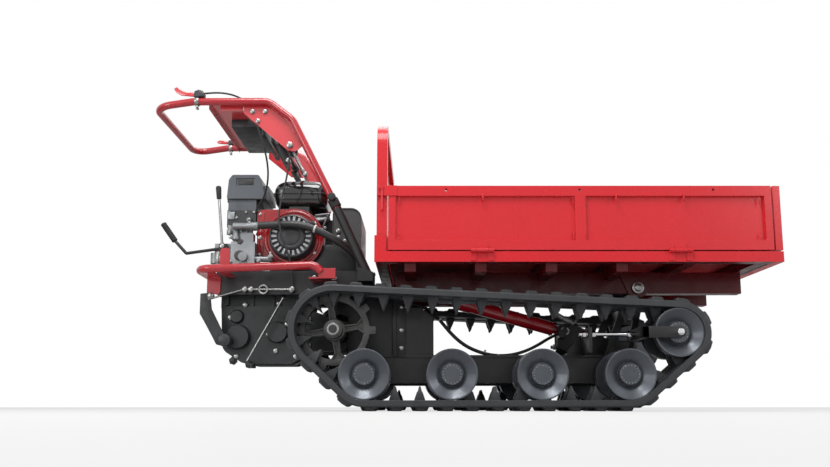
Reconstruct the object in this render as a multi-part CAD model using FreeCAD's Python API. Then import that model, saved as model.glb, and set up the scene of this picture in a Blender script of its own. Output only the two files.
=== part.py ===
import FreeCAD, Part
import math
import os

from FreeCAD import Vector

# Crawler carrier: a walk-behind mini transporter on two rubber tracks, with an
# open petrol engine and gearbox behind and a tipping drop-side bed in front.
# Millimetres. +X is forward (the dump end), +Z up, +Y the carrier's left.
# The origin is on the floor under the middle of the whole machine.

os.makedirs("parts", exist_ok=True)

# Fits
SEAT = 0.3            # gap between round pieces that rest on each other
PIN_FIT = 0.4         # gap of a pin in its bore, on the radius

# Tracks
TRACK_Y = 290.0       # middle of each track from the centre plane
TRACK_WIDTH = 180.0
PITCH = 89.0
LINKS = 37
BAND = 20.0           # thickness of the rubber band
LUG = 18.0            # ground lug, out from the band
LUG_LENGTH = 56.0     # along the loop
GUIDE = 50.0          # guide horn, in from the band
GUIDE_TIP = 10.0
GUIDE_WIDTH = 20.0
WINDOW_LENGTH = 46.0  # opening in the band for a sprocket tooth
WINDOW_WIDTH = 38.0

# Wheels of each track, X and Z of their axles
TEETH = 10
SPROCKET_X, SPROCKET_Z = -444.0, 289.0
ROLLER_R = 90.0
ROLLER_XS = (-331.0, -23.0, 293.0, 599.0)
IDLER_R = 87.0
IDLER_Z = 275.0
TOOTH_WIDTH = 28.0
SPOKES = 4
SPOKE_TURN = 9.0     # degrees
DISC_IN, DISC_OUT = 52.0, 84.0   # roller discs, from the track's middle
DISC_RIM = 5.0        # flat edge round the dished face
DISH = 26.0
CAP_R, CAP_IN = 37.0, 8.0        # hub cap, set back from the rim
ROLLER_HUB_R = 33.0
AXLE_R = 14.0

ROLLER_Z = LUG + BAND + ROLLER_R

# Chassis
BEAM_GAP = 12.0       # from a roller's inner face to the beam
BEAM_WIDTH = 44.0
BEAM_OUT = TRACK_Y - DISC_OUT - BEAM_GAP
BEAM_IN = BEAM_OUT - BEAM_WIDTH
BEAM_X0, BEAM_X1 = -350.0, 670.0
BEAM_Z0, BEAM_Z1 = 103.0, 207.0
WALL = 4.0

# Tipping bed
PIVOT_X, PIVOT_Z = 686.0, 460.0
PIVOT_R = 10.0
BED_X0, BED_X1 = -293.0, 1145.0
BED_Y = 400.0
FRAME_Z0, FRAME_Z1 = 520.5, 558.0
FRAME_WIDTH = 40.0
FLOOR = 3.0
RAIL_IN, RAIL_OUT = 145.0, 190.0
RAIL_X0, RAIL_X1 = -225.0, 1080.0
RAIL_Z0 = 440.0
GATE_THICK = 25.0
GATE_Z0, GATE_Z1 = 563.0, 796.0
GATE_X0, GATE_X1 = -247.0, 1113.0
GATE_TOP_RAIL = 37.0
GATE_FOOT_RAIL = 36.0
GATE_HOLE_XS = (-42.0, 433.0, 908.0)
GATE_HOLE_R = 5.0
HINGE_OUT = 9.0       # hinge pins outside the frame's face
HINGE_R = 7.0
HINGE_Z = 560.0
HINGE_PIN_R = 3.0
HINGE_LEAF = 3.5
HINGE_LEAF_HIGH = 24.0
HINGE_STARTS = (43.0, 741.0)      # X of the side hinges
FRONT_HINGE_STARTS = (-250.0, 168.0)
HINGE_LENGTH = 82.0
KNUCKLE = 20.0        # each fixed knuckle, at the hinge's ends
HEAD_Z1 = 1047.0
HEAD_X0, HEAD_X1 = -289.0, -252.0
HEAD_Y = 394.0
POST = 38.0
HOOP_BEND = 90.0      # outer bend of the headboard's hoop
PIVOT_CHEEK = 8.0     # bed's plates at the tip pivot

# Lift cylinder
BASE_X, BASE_Z = 440.0, 313.0
EYE_X, EYE_Z = -40.0, 450.0
BARREL_R = 27.0
ROD_R = 14.0
EYE_WIDTH = 34.0
EYE_R = 22.0

# Engine deck and guard
DECK_X0, DECK_X1 = -905.0, -305.0
DECK_Y = BEAM_OUT + 1.0
DECK_Z0, DECK_Z1 = 436.0, 526.0
GUARD_Y = DECK_Y + 105.0
GUARD_R = 15.0

# Handlebar
HANDLE_Y = DECK_Y + 60.0
HANDLE_R = 14.0
POST_R = 17.0


# Plain shapes
def box(x0, x1, y0, y1, z0, z1):
    return Part.makeBox(x1 - x0, y1 - y0, z1 - z0, Vector(x0, y0, z0))


def rod(start, end, radius):
    start, end = Vector(*start), Vector(*end)
    return Part.makeCylinder(radius, (end - start).Length, start, end - start)


def across(x, z, y0, y1, radius):
    return rod((x, y0, z), (x, y1, z), radius)


def rounded_wire(points, radius):
    """A closed outline of (x, z) points in the plane y = 0, with round corners."""
    edges = []
    corners = []
    count = len(points)
    for i in range(count):
        here = Vector(points[i][0], 0, points[i][1])
        back = Vector(points[i - 1][0], 0, points[i - 1][1]) - here
        ahead_point = points[(i + 1) % count]
        ahead = Vector(ahead_point[0], 0, ahead_point[1]) - here
        size = points[i][2] if len(points[i]) > 2 else radius
        if size <= 0:
            corners.append((here, None, here))
            continue
        half = back.getAngle(ahead) / 2
        reach = size / math.tan(half)
        back.normalize()
        ahead.normalize()
        middle = back + ahead
        middle.normalize()
        bulge = here + middle * (size / math.sin(half) - size)
        corners.append((here + back * reach, bulge, here + ahead * reach))
    for i in range(count):
        first, bulge, last = corners[i]
        if bulge is not None:
            edges.append(Part.Arc(first, bulge, last).toShape())
        after = corners[(i + 1) % count][0]
        if (after - last).Length > 1e-6:
            edges.append(Part.LineSegment(last, after).toShape())
    return Part.Wire(edges)


def plate(points, y0, y1, radius=0.0):
    """An upright plate: the (x, z) outline from y0 to y1."""
    face = Part.Face(rounded_wire(points, radius))
    face.translate(Vector(0, y0, 0))
    return face.extrude(Vector(0, y1 - y0, 0))


def both_sides(shape):
    mirror = shape.mirror(Vector(0, 0, 0), Vector(0, 1, 0))
    return [shape, mirror]


def joined(shapes):
    solid = shapes[0].multiFuse(shapes[1:]) if len(shapes) > 1 else shapes[0]
    return solid.removeSplitter()


def path_wire(points, bends):
    """Straight runs joined by tangent arcs; bends has one radius for each inner point."""
    points = [Vector(*p) for p in points]
    edges = []
    start = points[0]
    for i in range(1, len(points) - 1):
        back = points[i - 1] - points[i]
        ahead = points[i + 1] - points[i]
        half = back.getAngle(ahead) / 2
        reach = bends[i - 1] / math.tan(half)
        back.normalize()
        ahead.normalize()
        middle = back + ahead
        middle.normalize()
        first = points[i] + back * reach
        last = points[i] + ahead * reach
        bulge = points[i] + middle * (bends[i - 1] / math.sin(half) - bends[i - 1])
        if (first - start).Length > 1e-6:
            edges.append(Part.LineSegment(start, first).toShape())
        edges.append(Part.Arc(first, bulge, last).toShape())
        start = last
    edges.append(Part.LineSegment(start, points[-1]).toShape())
    return Part.Wire(edges)


def bent_tube(points, radius, bend):
    """A round bar along the points, with one bend radius."""
    wire = path_wire(points, [bend] * (len(points) - 2))
    start, second = Vector(*points[0]), Vector(*points[1])
    circle = Part.Wire(Part.Circle(start, second - start, radius).toShape())
    return wire.makePipeShell([circle], True, False)


HOSE_SIDES = 8


def hose_section(start, ahead, radius):
    """An eight-sided section of the same area as the round one."""
    turn = FreeCAD.Rotation(Vector(0, 0, 1), ahead)
    step = 2 * math.pi / HOSE_SIDES
    corner = radius * math.sqrt(2 * math.pi / (HOSE_SIDES * math.sin(step)))
    ring = [start + turn.multVec(Vector(corner * math.cos(i * step), corner * math.sin(i * step), 0))
            for i in range(HOSE_SIDES)]
    return Part.makePolygon(ring + ring[:1])


def hose(points, radius):
    """A hose with each arc as large as its two runs allow."""
    vectors = [Vector(*p) for p in points]
    bends = []
    for i in range(1, len(vectors) - 1):
        back = vectors[i - 1] - vectors[i]
        ahead = vectors[i + 1] - vectors[i]
        half_turn = (math.pi - back.getAngle(ahead)) / 2
        bends.append(0.45 * min(back.Length, ahead.Length) / math.tan(half_turn))
    wire = path_wire(points, bends)
    section = hose_section(vectors[0], vectors[1] - vectors[0], radius)
    solid = wire.makePipeShell([section], True, False)
    print("hose radii", [round(b) for b in bends], "length", round(wire.Length),
          "volume ratio", round(solid.Volume / (math.pi * radius ** 2 * wire.Length), 4))
    return solid


# Track loop
PITCH_R = PITCH * TEETH / (2 * math.pi)


def loop_lines(idler_x):
    """The loop of the pitch line: wheel centres, radii and tangent points."""
    wheels = [
        (SPROCKET_X, SPROCKET_Z, PITCH_R),
        (ROLLER_XS[0], ROLLER_Z, ROLLER_R + BAND / 2),
        (ROLLER_XS[-1], ROLLER_Z, ROLLER_R + BAND / 2),
        (idler_x, IDLER_Z, IDLER_R + BAND / 2),
    ]
    normals = []
    for i, (x, z, r) in enumerate(wheels):
        x2, z2, r2 = wheels[(i + 1) % len(wheels)]
        heading = math.atan2(z2 - z, x2 - x)
        normals.append(heading - math.acos((r - r2) / math.hypot(x2 - x, z2 - z)))
    length = 0.0
    for i, (x, z, r) in enumerate(wheels):
        x2, z2, r2 = wheels[(i + 1) % len(wheels)]
        length += math.sqrt((x2 - x) ** 2 + (z2 - z) ** 2 - (r - r2) ** 2)
        length += r * ((normals[i] - normals[i - 1]) % (2 * math.pi))
    return wheels, normals, length


def tight_idler_x():
    """The idler's place at which the loop holds a whole number of links."""
    low, high = ROLLER_XS[-1] + 50, ROLLER_XS[-1] + 400
    for _ in range(60):
        middle = (low + high) / 2
        if loop_lines(middle)[2] < LINKS * PITCH:
            low = middle
        else:
            high = middle
    return (low + high) / 2


IDLER_X = tight_idler_x()
WHEELS, NORMALS, LOOP_LENGTH = loop_lines(IDLER_X)
print("idler at", round(IDLER_X, 1))


def loop_face(offset):
    """The loop's outline, this far outside its pitch line."""
    edges = []
    count = len(WHEELS)
    for i, (x, z, r) in enumerate(WHEELS):
        r += offset
        first, last = NORMALS[i - 1], NORMALS[i]
        sweep_angle = (last - first) % (2 * math.pi)
        spots = [Vector(x + r * math.cos(a), 0, z + r * math.sin(a))
                 for a in (first, first + sweep_angle / 2, first + sweep_angle)]
        edges.append(Part.Arc(*spots).toShape())
        x2, z2, r2 = WHEELS[(i + 1) % count]
        r2 += offset
        after = Vector(x2 + r2 * math.cos(last), 0, z2 + r2 * math.sin(last))
        edges.append(Part.LineSegment(spots[2], after).toShape())
    return Part.Face(Part.Wire(edges))


def loop_place(distance):
    """Place and outward angle on the pitch line, from the sprocket's first contact."""
    distance %= LOOP_LENGTH
    for i, (x, z, r) in enumerate(WHEELS):
        first, last = NORMALS[i - 1], NORMALS[i]
        turn = (last - first) % (2 * math.pi)
        if distance <= r * turn:
            angle = first + distance / r
            return x + r * math.cos(angle), z + r * math.sin(angle), angle
        distance -= r * turn
        x2, z2, r2 = WHEELS[(i + 1) % len(WHEELS)]
        run = math.sqrt((x2 - x) ** 2 + (z2 - z) ** 2 - (r - r2) ** 2)
        if distance <= run:
            start_x, start_z = x + r * math.cos(last), z + r * math.sin(last)
            return (start_x - distance * math.sin(last),
                    start_z + distance * math.cos(last), last)
        distance -= run
    return x, z, NORMALS[-1]


def on_loop(shape, distance):
    """Move a shape made at the origin, outward along +Z, to its place on the loop."""
    x, z, angle = loop_place(distance)
    copy = shape.copy()
    copy.rotate(Vector(0, 0, 0), Vector(0, 1, 0), 90 - math.degrees(angle))
    copy.translate(Vector(x, 0, z))
    return copy


# The middle tooth of the sprocket points straight back, so that a window is there
FIRST_WINDOW = PITCH_R * ((math.pi - NORMALS[-1]) % (2 * math.pi))


def track():
    outer, inner = BAND / 2, -BAND / 2
    half = TRACK_WIDTH / 2
    ring = loop_face(outer).cut(loop_face(inner))
    band = ring.extrude(Vector(0, TRACK_WIDTH, 0))
    band.translate(Vector(0, -half, 0))
    # ground lug: a bar across the whole band, narrower at its tip
    root, tip = LUG_LENGTH / 2, LUG_LENGTH / 2 - 10
    sink = 3.0
    lug = plate([(-root, outer - sink), (root, outer - sink), (root, outer),
                 (tip, outer + LUG), (-tip, outer + LUG), (-root, outer)], -half, half)
    # guide horns fill the length between two windows, one beside each row of teeth
    horn_root = (PITCH - WINDOW_LENGTH) / 2
    horn = plate([(-horn_root, inner + sink), (horn_root, inner + sink), (GUIDE_TIP / 2, inner - GUIDE),
                  (-GUIDE_TIP / 2, inner - GUIDE)], WINDOW_WIDTH / 2, WINDOW_WIDTH / 2 + GUIDE_WIDTH)
    window = box(-WINDOW_LENGTH / 2, WINDOW_LENGTH / 2, -WINDOW_WIDTH / 2, WINDOW_WIDTH / 2,
                 -BAND, BAND)
    pads = []
    holes = []
    for i in range(LINKS):
        place = FIRST_WINDOW + i * PITCH
        holes.append(on_loop(window, place))
        pads.append(on_loop(lug, place + PITCH / 2))
        for side in both_sides(horn):
            pads.append(on_loop(side, place + PITCH / 2))
    return band.cut(Part.makeCompound(holes)).fuse(pads)


def at_track(shape, side):
    copy = shape.copy()
    copy.translate(Vector(0, side * TRACK_Y, 0))
    return copy


def sprocket():
    """A thin toothed rim on four spokes of I-section, on a hub that the drive shaft holds."""
    half = TOOTH_WIDTH / 2
    rim_r = PITCH_R - BAND / 2 - 12
    rim_in = rim_r - 14
    tip_r = PITCH_R + BAND / 2 - 4
    root, tip = 17.0, 9.0
    teeth = []
    for i in range(TEETH):
        angle = math.pi + i * 2 * math.pi / TEETH
        tooth = plate([(-root, rim_r - 6), (root, rim_r - 6), (root, PITCH_R - BAND / 2 - 4),
                       (tip, tip_r), (-tip, tip_r), (-root, PITCH_R - BAND / 2 - 4)], -half, half)
        tooth.rotate(Vector(0, 0, 0), Vector(0, 1, 0), 90 - math.degrees(angle))
        teeth.append(tooth)
    ring = across(0, 0, -half, half, rim_r).cut(across(0, 0, -half, half, rim_in))
    hub = across(0, 0, -60, 60, 34)
    spoke = plate([(24, -13), (rim_in - 20, -11), (rim_in + 4, -32), (rim_in + 4, 32), (rim_in - 20, 11),
                   (24, 13)], -half, half)
    pocket = plate([(46, -6), (rim_in - 16, -6), (rim_in - 16, 6), (46, 6)], half - 9, half)
    spoke = spoke.cut(Part.makeCompound(both_sides(pocket)))
    spokes = []
    for i in range(SPOKES):
        turned = spoke.copy()
        turned.rotate(Vector(0, 0, 0), Vector(0, 1, 0), SPOKE_TURN + i * 360.0 / SPOKES)
        spokes.append(turned)
    wheel = ring.fuse(teeth + spokes + [hub])
    wheel = wheel.cut(across(0, 0, -70, 70, AXLE_R + SEAT))
    wheel.translate(Vector(SPROCKET_X, 0, SPROCKET_Z))
    return wheel


def roller(x, z, radius, inner_face):
    """Two dished discs on one hub; the stub axle reaches back to inner_face."""
    edge = radius - SEAT
    points = [
        (0, DISC_OUT - CAP_IN), (CAP_R, DISC_OUT - CAP_IN), (CAP_R + 5, DISC_OUT - DISH),
        (edge - DISC_RIM, DISC_OUT), (edge, DISC_OUT), (edge, DISC_IN), (ROLLER_HUB_R, DISC_IN),
        (ROLLER_HUB_R, -DISC_IN), (edge, -DISC_IN), (edge, -DISC_OUT), (0, -DISC_OUT),
    ]
    wire = Part.makePolygon([Vector(r, -y, 0) for r, y in points + points[:1]])
    wheel = Part.Face(wire).revolve(Vector(0, 0, 0), Vector(0, 1, 0), 360)
    axle = across(0, 0, DISC_OUT - 1, inner_face, AXLE_R)
    wheel = wheel.fuse(axle)
    wheel.translate(Vector(x, 0, z))
    return wheel


def save(name, shape):
    solids = shape.Solids
    bad = [s for s in solids if not s.isValid()]
    print(name, "solids", len(solids), "bad", len(bad), "litres", round(shape.Volume / 1e6, 3))
    (solids[0] if len(solids) == 1 else Part.makeCompound(solids)).exportStep("parts/%s.step" % name)


def save_pair(name, right_shape):
    """right_shape is on the carrier's right, at -Y."""
    save(name + "_right", right_shape)
    save(name + "_left", right_shape.mirror(Vector(0, 0, 0), Vector(0, 1, 0)))


# Tracks and their wheels
save_pair("track", at_track(track(), -1))
save_pair("sprocket", at_track(sprocket(), -1))
axle_reach = TRACK_Y - BEAM_OUT
save_pair("rollers", Part.makeCompound(
    [at_track(roller(x, ROLLER_Z, ROLLER_R, axle_reach), -1) for x in ROLLER_XS]))
idler = roller(IDLER_X, IDLER_Z, IDLER_R, DISC_OUT)
save_pair("idler", at_track(idler.cut(across(IDLER_X, IDLER_Z, -DISC_OUT, DISC_OUT, AXLE_R + SEAT)), -1))


# Track beams: closed box sections with bolted end plates
def track_beam():
    outside = box(BEAM_X0, BEAM_X1, -BEAM_OUT, -BEAM_IN, BEAM_Z0, BEAM_Z1)
    inside = box(BEAM_X0 + WALL, BEAM_X1 - WALL, -BEAM_OUT + WALL, -BEAM_IN - WALL,
                 BEAM_Z0 + WALL, BEAM_Z1 - WALL)
    return outside.cut(inside)


save_pair("track_beam", track_beam())


# Idler fork on a threaded rod, carried by a bracket on the beam
FORK_HALF = 20.0      # half the fork's height
BRACKET_X = 470.0
BRACKET_THICK = 12.0
ROD_END_X = IDLER_X - 100


def tensioner():
    y = -TRACK_Y
    low, high = IDLER_Z - FORK_HALF, IDLER_Z + FORK_HALF
    reach = DISC_OUT + 8
    shaft = across(IDLER_X, IDLER_Z, y - reach - 6, y + reach + 2, AXLE_R)
    arms = [plate([(ROD_END_X, low), (IDLER_X + 26, low, 18), (IDLER_X + 26, high, 18), (ROD_END_X, high)],
                  y + side * (DISC_OUT + 4) - 4, y + side * (DISC_OUT + 4) + 4) for side in (-1, 1)]
    yoke = box(ROD_END_X - 14, ROD_END_X, y - reach, y + reach, low, high)
    screw = rod((BRACKET_X - 30, y, IDLER_Z), (ROD_END_X, y, IDLER_Z), 9)
    nut = rod((BRACKET_X + BRACKET_THICK, y, IDLER_Z),
              (BRACKET_X + BRACKET_THICK + 14, y, IDLER_Z), 17)
    bracket = box(BRACKET_X, BRACKET_X + BRACKET_THICK, y - 26, -BEAM_IN, BEAM_Z1, IDLER_Z + 24)
    gusset = plate([(BRACKET_X - 60, BEAM_Z1), (BRACKET_X, BEAM_Z1), (BRACKET_X, IDLER_Z + 10)],
                   -BEAM_OUT, -BEAM_OUT + 6)
    return joined([shaft, yoke, screw, nut, bracket, gusset] + arms)


save_pair("tensioner", tensioner())

# Chassis between the beams
CROSS = [  # x0, x1, z0, z1
    (-330.0, -270.0, 120.0, 180.0),
    (-60.0, 0.0, 110.0, 170.0),
    (250.0, 310.0, 110.0, 170.0),
    (470.0, 560.0, 110.0, 190.0),
    (620.0, 670.0, 110.0, 190.0),
]
save("cross_members", Part.makeCompound(
    [box(x0, x1, -BEAM_IN, BEAM_IN, z0, z1) for x0, x1, z0, z1 in CROSS]))

# Front tower: two plates that carry the tip pivot pin, and the cylinder's ears
TOWER_IN, TOWER_OUT = 122.0, 132.0
EAR_GAP = EYE_WIDTH / 2 + 2
EAR = 10.0
BASE_PIN_R = 12.0
SHELF_Z0, SHELF_Z1 = 190.0, 200.0
PIVOT_WASHER_R = 21.0


def front_tower():
    upright = plate([(560, SHELF_Z0), (670, SHELF_Z0), (PIVOT_X + 30, PIVOT_Z - 80, 20),
                     (PIVOT_X + 30, PIVOT_Z + 26, 24), (PIVOT_X - 30, PIVOT_Z + 26, 24),
                     (PIVOT_X - 46, PIVOT_Z - 60, 20)], -TOWER_OUT, -TOWER_IN)
    upright = upright.cut(plate([(606, 230, 8), (660, 230, 8), (684, 350, 8), (652, 350, 8)],
                                -TOWER_OUT, -TOWER_IN))
    bed_out = RAIL_OUT + PIVOT_CHEEK
    pin = across(PIVOT_X, PIVOT_Z, -bed_out - 14, bed_out + 14, PIVOT_R)
    washers = [across(PIVOT_X, PIVOT_Z, side * (bed_out + 3), side * (bed_out + 7), PIVOT_WASHER_R)
               for side in (-1, 1)]
    ties = [box(640, 664, -TOWER_OUT, TOWER_OUT, SHELF_Z0, 222),
            box(664, 676, -TOWER_OUT, TOWER_OUT, 360, 400)]
    ear = plate([(BASE_X - 30, 250, 10), (520, SHELF_Z0), (618, SHELF_Z0), (618, 280, 10),
                 (BASE_X + 30, BASE_Z + 30, 20), (BASE_X - 30, BASE_Z + 30, 29)], -EAR_GAP - EAR, -EAR_GAP)
    shelf = box(470, 664, -BEAM_IN, BEAM_IN, SHELF_Z0, SHELF_Z1)
    base_pin = across(BASE_X, BASE_Z, -EAR_GAP - EAR - 8, EAR_GAP + EAR + 8, BASE_PIN_R)
    port = box(BASE_X - 29, BASE_X - 3, -70, -EAR_GAP - EAR, 284, 316)
    return joined(both_sides(upright) + both_sides(ear) + washers + ties + [pin, shelf, base_pin, port])


save("front_tower", front_tower())

# Rear tower: folded plates that carry the engine deck, with room for the hoses between
REAR_X0, REAR_X1 = -250.0, -84.0
REAR_TOP = 380.0


def rear_tower():
    side = plate([(REAR_X0, BEAM_Z1), (REAR_X1, BEAM_Z1), (REAR_X1, REAR_TOP - 30, 10),
                  (REAR_X1 - 40, REAR_TOP, 10), (REAR_X0, REAR_TOP)], -BEAM_OUT + 2, -BEAM_OUT + 8)
    strip = box(REAR_X0 + 44, REAR_X0 + 62, -BEAM_OUT - 2, -BEAM_OUT + 2, BEAM_Z1, REAR_TOP - 10)
    flange = box(REAR_X0 - 8, REAR_X0, -BEAM_OUT - 1, -BEAM_OUT + 30, BEAM_Z1, REAR_TOP)
    top = box(-340, REAR_X1 - 40, -BEAM_OUT + 2, BEAM_OUT - 2, REAR_TOP, REAR_TOP + 6)
    back = box(REAR_X0 - 8, REAR_X0, -BEAM_OUT + 2, BEAM_OUT - 2, BEAM_Z1, REAR_TOP)
    prop = box(-340, -310, -DECK_Y + 2, -DECK_Y + 30, REAR_TOP, DECK_Z0)
    return joined(both_sides(side) + both_sides(strip) + both_sides(flange) + both_sides(prop) + [top, back])


save("rear_tower", rear_tower())

# Engine deck: two side channels under one plate, stopped short of the hoses' way down
DECK_PLATE = 6.0
CHANNEL = 40.0
HOSE_GAP_X = -372.0


def engine_deck():
    channel = box(DECK_X0, DECK_X1, -DECK_Y, -DECK_Y + CHANNEL, DECK_Z0, DECK_Z1 - DECK_PLATE)
    hollow = box(DECK_X0, DECK_X1, -DECK_Y + 6, -DECK_Y + CHANNEL, DECK_Z0 + 6, DECK_Z1 - 2 * DECK_PLATE)
    top = box(DECK_X0, HOSE_GAP_X, -DECK_Y, DECK_Y, DECK_Z1 - DECK_PLATE, DECK_Z1)
    end = box(DECK_X0, DECK_X0 + 6, -DECK_Y, DECK_Y, DECK_Z0, DECK_Z1)
    return joined(both_sides(channel.cut(hollow)) + [top, end])


save("engine_deck", engine_deck())

# Guard: one bent tube round the engine, with its tabs and front brackets
GUARD_X0, GUARD_X1 = -947.0, -519.0
GUARD_Z = 520.0
GUARD_BEND = 45.0
TAB = 6.0


def guard_rail():
    y = GUARD_Y
    side = [(-494, 502), (GUARD_X1, GUARD_Z + 8), (GUARD_X0, GUARD_Z - 6)]
    points = [(x, -y, z) for x, z in side] + [(x, y, z) for x, z in reversed(side)]
    tube = bent_tube(points, GUARD_R, GUARD_BEND)
    bracket = box(-504, -442, -y - TAB, -y + TAB, 478, 516)
    shelf = box(-540, -460, -y, -DECK_Y, 478, 478 + TAB)
    upper_tab = plate([(-868, 524), (-832, 524), (-832, 594, 14), (-868, 594, 14)], -y + 8, -y + 8 + TAB)
    arm = box(-868, -832, -y + 8, -DECK_Y, 500, 500 + TAB)
    arm_foot = box(-868, -832, -y + 8, -y + 8 + TAB, 500, 530)
    low_tab = plate([(-938, 436, 10), (-888, 436, 10), (-888, 506), (-938, 506)], -DECK_Y - TAB, -DECK_Y)
    low_arm = box(-938, -888, -y, -DECK_Y, 500, 500 + TAB)
    pieces = both_sides(bracket) + both_sides(shelf) + both_sides(arm) + both_sides(arm_foot)
    return joined([tube, upper_tab] + pieces + both_sides(low_tab) + both_sides(low_arm))


save("guard_rail", guard_rail())

# Gearbox: a cast housing under the deck, ribbed, with axle tubes out to the sprockets
GEAR_Y = 130.0
AXLE_TUBE_R = 36.0
RIB_XS = (-780.0, -700.0, -620.0, -540.0)


def gearbox():
    top = DECK_Z1 - DECK_PLATE
    body = plate([(-896, top), (-885, 240, 50), (-810, 185, 40), (-640, 185, 20), (-560, 230),
                  (-410, 235, 24), (-395, 325, 24), (-480, 352, 10), (-600, 384, 10), (-622, top)],
                 -GEAR_Y + 10, GEAR_Y - 10)
    flange = plate([(-900, 400, 10), (-892, 232, 46), (-812, 180, 40), (-636, 180, 20), (-556, 226, 10),
                    (-406, 230, 28), (-390, 330, 28), (-480, 358, 10), (-600, 400, 10)],
                   -GEAR_Y, -GEAR_Y + 12)
    middle = plate([(-900, 400, 10), (-892, 232, 46), (-812, 180, 40), (-636, 180, 20), (-556, 226, 10),
                    (-406, 230, 28), (-390, 330, 28), (-480, 358, 10), (-600, 400, 10)], -7, 7)
    ribs = [box(x - 4, x + 4, -GEAR_Y + 2, GEAR_Y - 2, 400, top) for x in RIB_XS[:2]]
    shaft = across(SPROCKET_X, SPROCKET_Z, -TRACK_Y - 62, TRACK_Y + 62, AXLE_R)
    tubes = across(SPROCKET_X, SPROCKET_Z, -TRACK_Y + 62, TRACK_Y - 62, AXLE_TUBE_R)
    plug = rod((-800, 0, 168), (-800, 0, 186), 11)
    lug = across(-784, 182, -168, -GEAR_Y + 10, 9)
    return joined([body, shaft, tubes, middle, plug, lug] + both_sides(flange) + ribs)


save("gearbox", gearbox())

# Round bearing covers on the gearbox's sides, and the shift arm on the rear one
COVERS = [  # x, z, radius, proud
    (-830.0, 280.0, 48.0, 26.0),
    (-680.0, 298.0, 43.0, 18.0),
    (-838.0, 359.0, 28.0, 14.0),
]


def gearbox_covers():
    pieces = []
    for x, z, radius, proud in COVERS:
        cover = Part.makeCone(radius, radius - 6, proud, Vector(x, -GEAR_Y, z), Vector(0, -1, 0))
        pieces += both_sides(cover)
    rear_face = GEAR_Y + COVERS[0][3]
    arm = plate([(-962, 425, 6), (-928, 430, 6), (-924, 356), (-846, 300, 10), (-850, 256, 10),
                 (-905, 262, 10), (-956, 345)], -rear_face - 10, -rear_face)
    stud = across(-936, 415, -212, -rear_face, 7)
    return joined(pieces), joined([arm, stud])


covers, shift_arm = gearbox_covers()
save("gearbox_covers", covers)

# Shift linkage: a rod from the arm, two links and a ring, and a rod to the cable's end
LINK_Y = -206.0
LINK_Z = 453.0


def shift_linkage():
    rear = rod((-930, LINK_Y, 415), (-800, LINK_Y, LINK_Z), 3.5)
    links = [rod((x, LINK_Y, LINK_Z), (x + 14, LINK_Y, LINK_Z), 8) for x in (-804, -782, -758)]
    core = rod((-804, LINK_Y, LINK_Z), (-614, LINK_Y, LINK_Z), 3.5)
    ring = across(-724, LINK_Z, LINK_Y - 3, LINK_Y + 3, 19).cut(across(-724, LINK_Z, LINK_Y - 3, LINK_Y + 3, 12))
    end = across(-614, LINK_Z, LINK_Y - 5, -DECK_Y, 6)
    brake = rod((-656, -162, DECK_Z0 - 4), (-783, -162, 194), 5)
    brake_lug = box(-668, -644, -172, -156, DECK_Z0 - 14, DECK_Z0)
    return Part.makeCompound([joined([rear, core, ring, end, shift_arm] + links), joined([brake, brake_lug])])


save("shift_linkage", shift_linkage())

# Engine: crankcase, slanted finned cylinder and its head
ENGINE_Z = DECK_Z1
CRANK_X, CRANK_Z = -627.0, 663.0
FINS = 6
FIN_PITCH = 13.0

# Fuel tank, on a bearer over the crankcase
TANK_X0, TANK_X1 = -726.0, -507.0
TANK_Y0, TANK_Y1 = -65.0, 150.0
TANK_Z0, TANK_Z1 = 814.0, 929.0
TANK_SEAM_Z = 868.0


def engine_block():
    case = plate([(-725, ENGINE_Z), (-530, ENGINE_Z), (-530, 700, 40), (-590, 770, 20), (-700, 770, 20),
                  (-725, 700, 20)], -96, 120)
    cylinder = box(-50, 50, -60, 70, 40, 150)
    head = box(-56, 56, -66, 76, 150, 176)
    fins = [box(-64, 64, -74, 84, 60 + i * FIN_PITCH, 60 + i * FIN_PITCH + 5) for i in range(FINS)]
    barrel = joined([cylinder, head] + fins)
    barrel.rotate(Vector(0, 0, 0), Vector(0, 1, 0), -68)
    barrel.translate(Vector(CRANK_X + 20, 0, CRANK_Z + 20))
    shaft = across(CRANK_X, CRANK_Z, 120, 178, 12)
    bearer = box(-660, -580, -60, 70, 760, TANK_Z0)
    return joined([case, barrel, shaft, bearer])


engine = engine_block()
save("engine_block", engine)

# Fan shroud: a round housing about the crank with a flat wing over the cylinder
SHROUD_R = 118.0
SHROUD_Y0, SHROUD_Y1 = -148.0, -96.0


def fan_shroud():
    round_part = across(CRANK_X, CRANK_Z, SHROUD_Y0, SHROUD_Y1, SHROUD_R)
    wing = plate([(-768, 579, 14), (CRANK_X, 579), (CRANK_X, CRANK_Z + SHROUD_R - 1), (-768, 779, 24)],
                 SHROUD_Y0 + 6, SHROUD_Y1)
    eye = across(CRANK_X, CRANK_Z, SHROUD_Y0, SHROUD_Y0 + 40, 70)
    return joined([round_part, wing]).cut(eye)


save("fan_shroud", fan_shroud())

# Recoil starter: a domed cup with a ring of air slots and a plain raised centre
STARTER_R = 88.0
STARTER_DEEP = 42.0
SLOTS = 16


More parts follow.
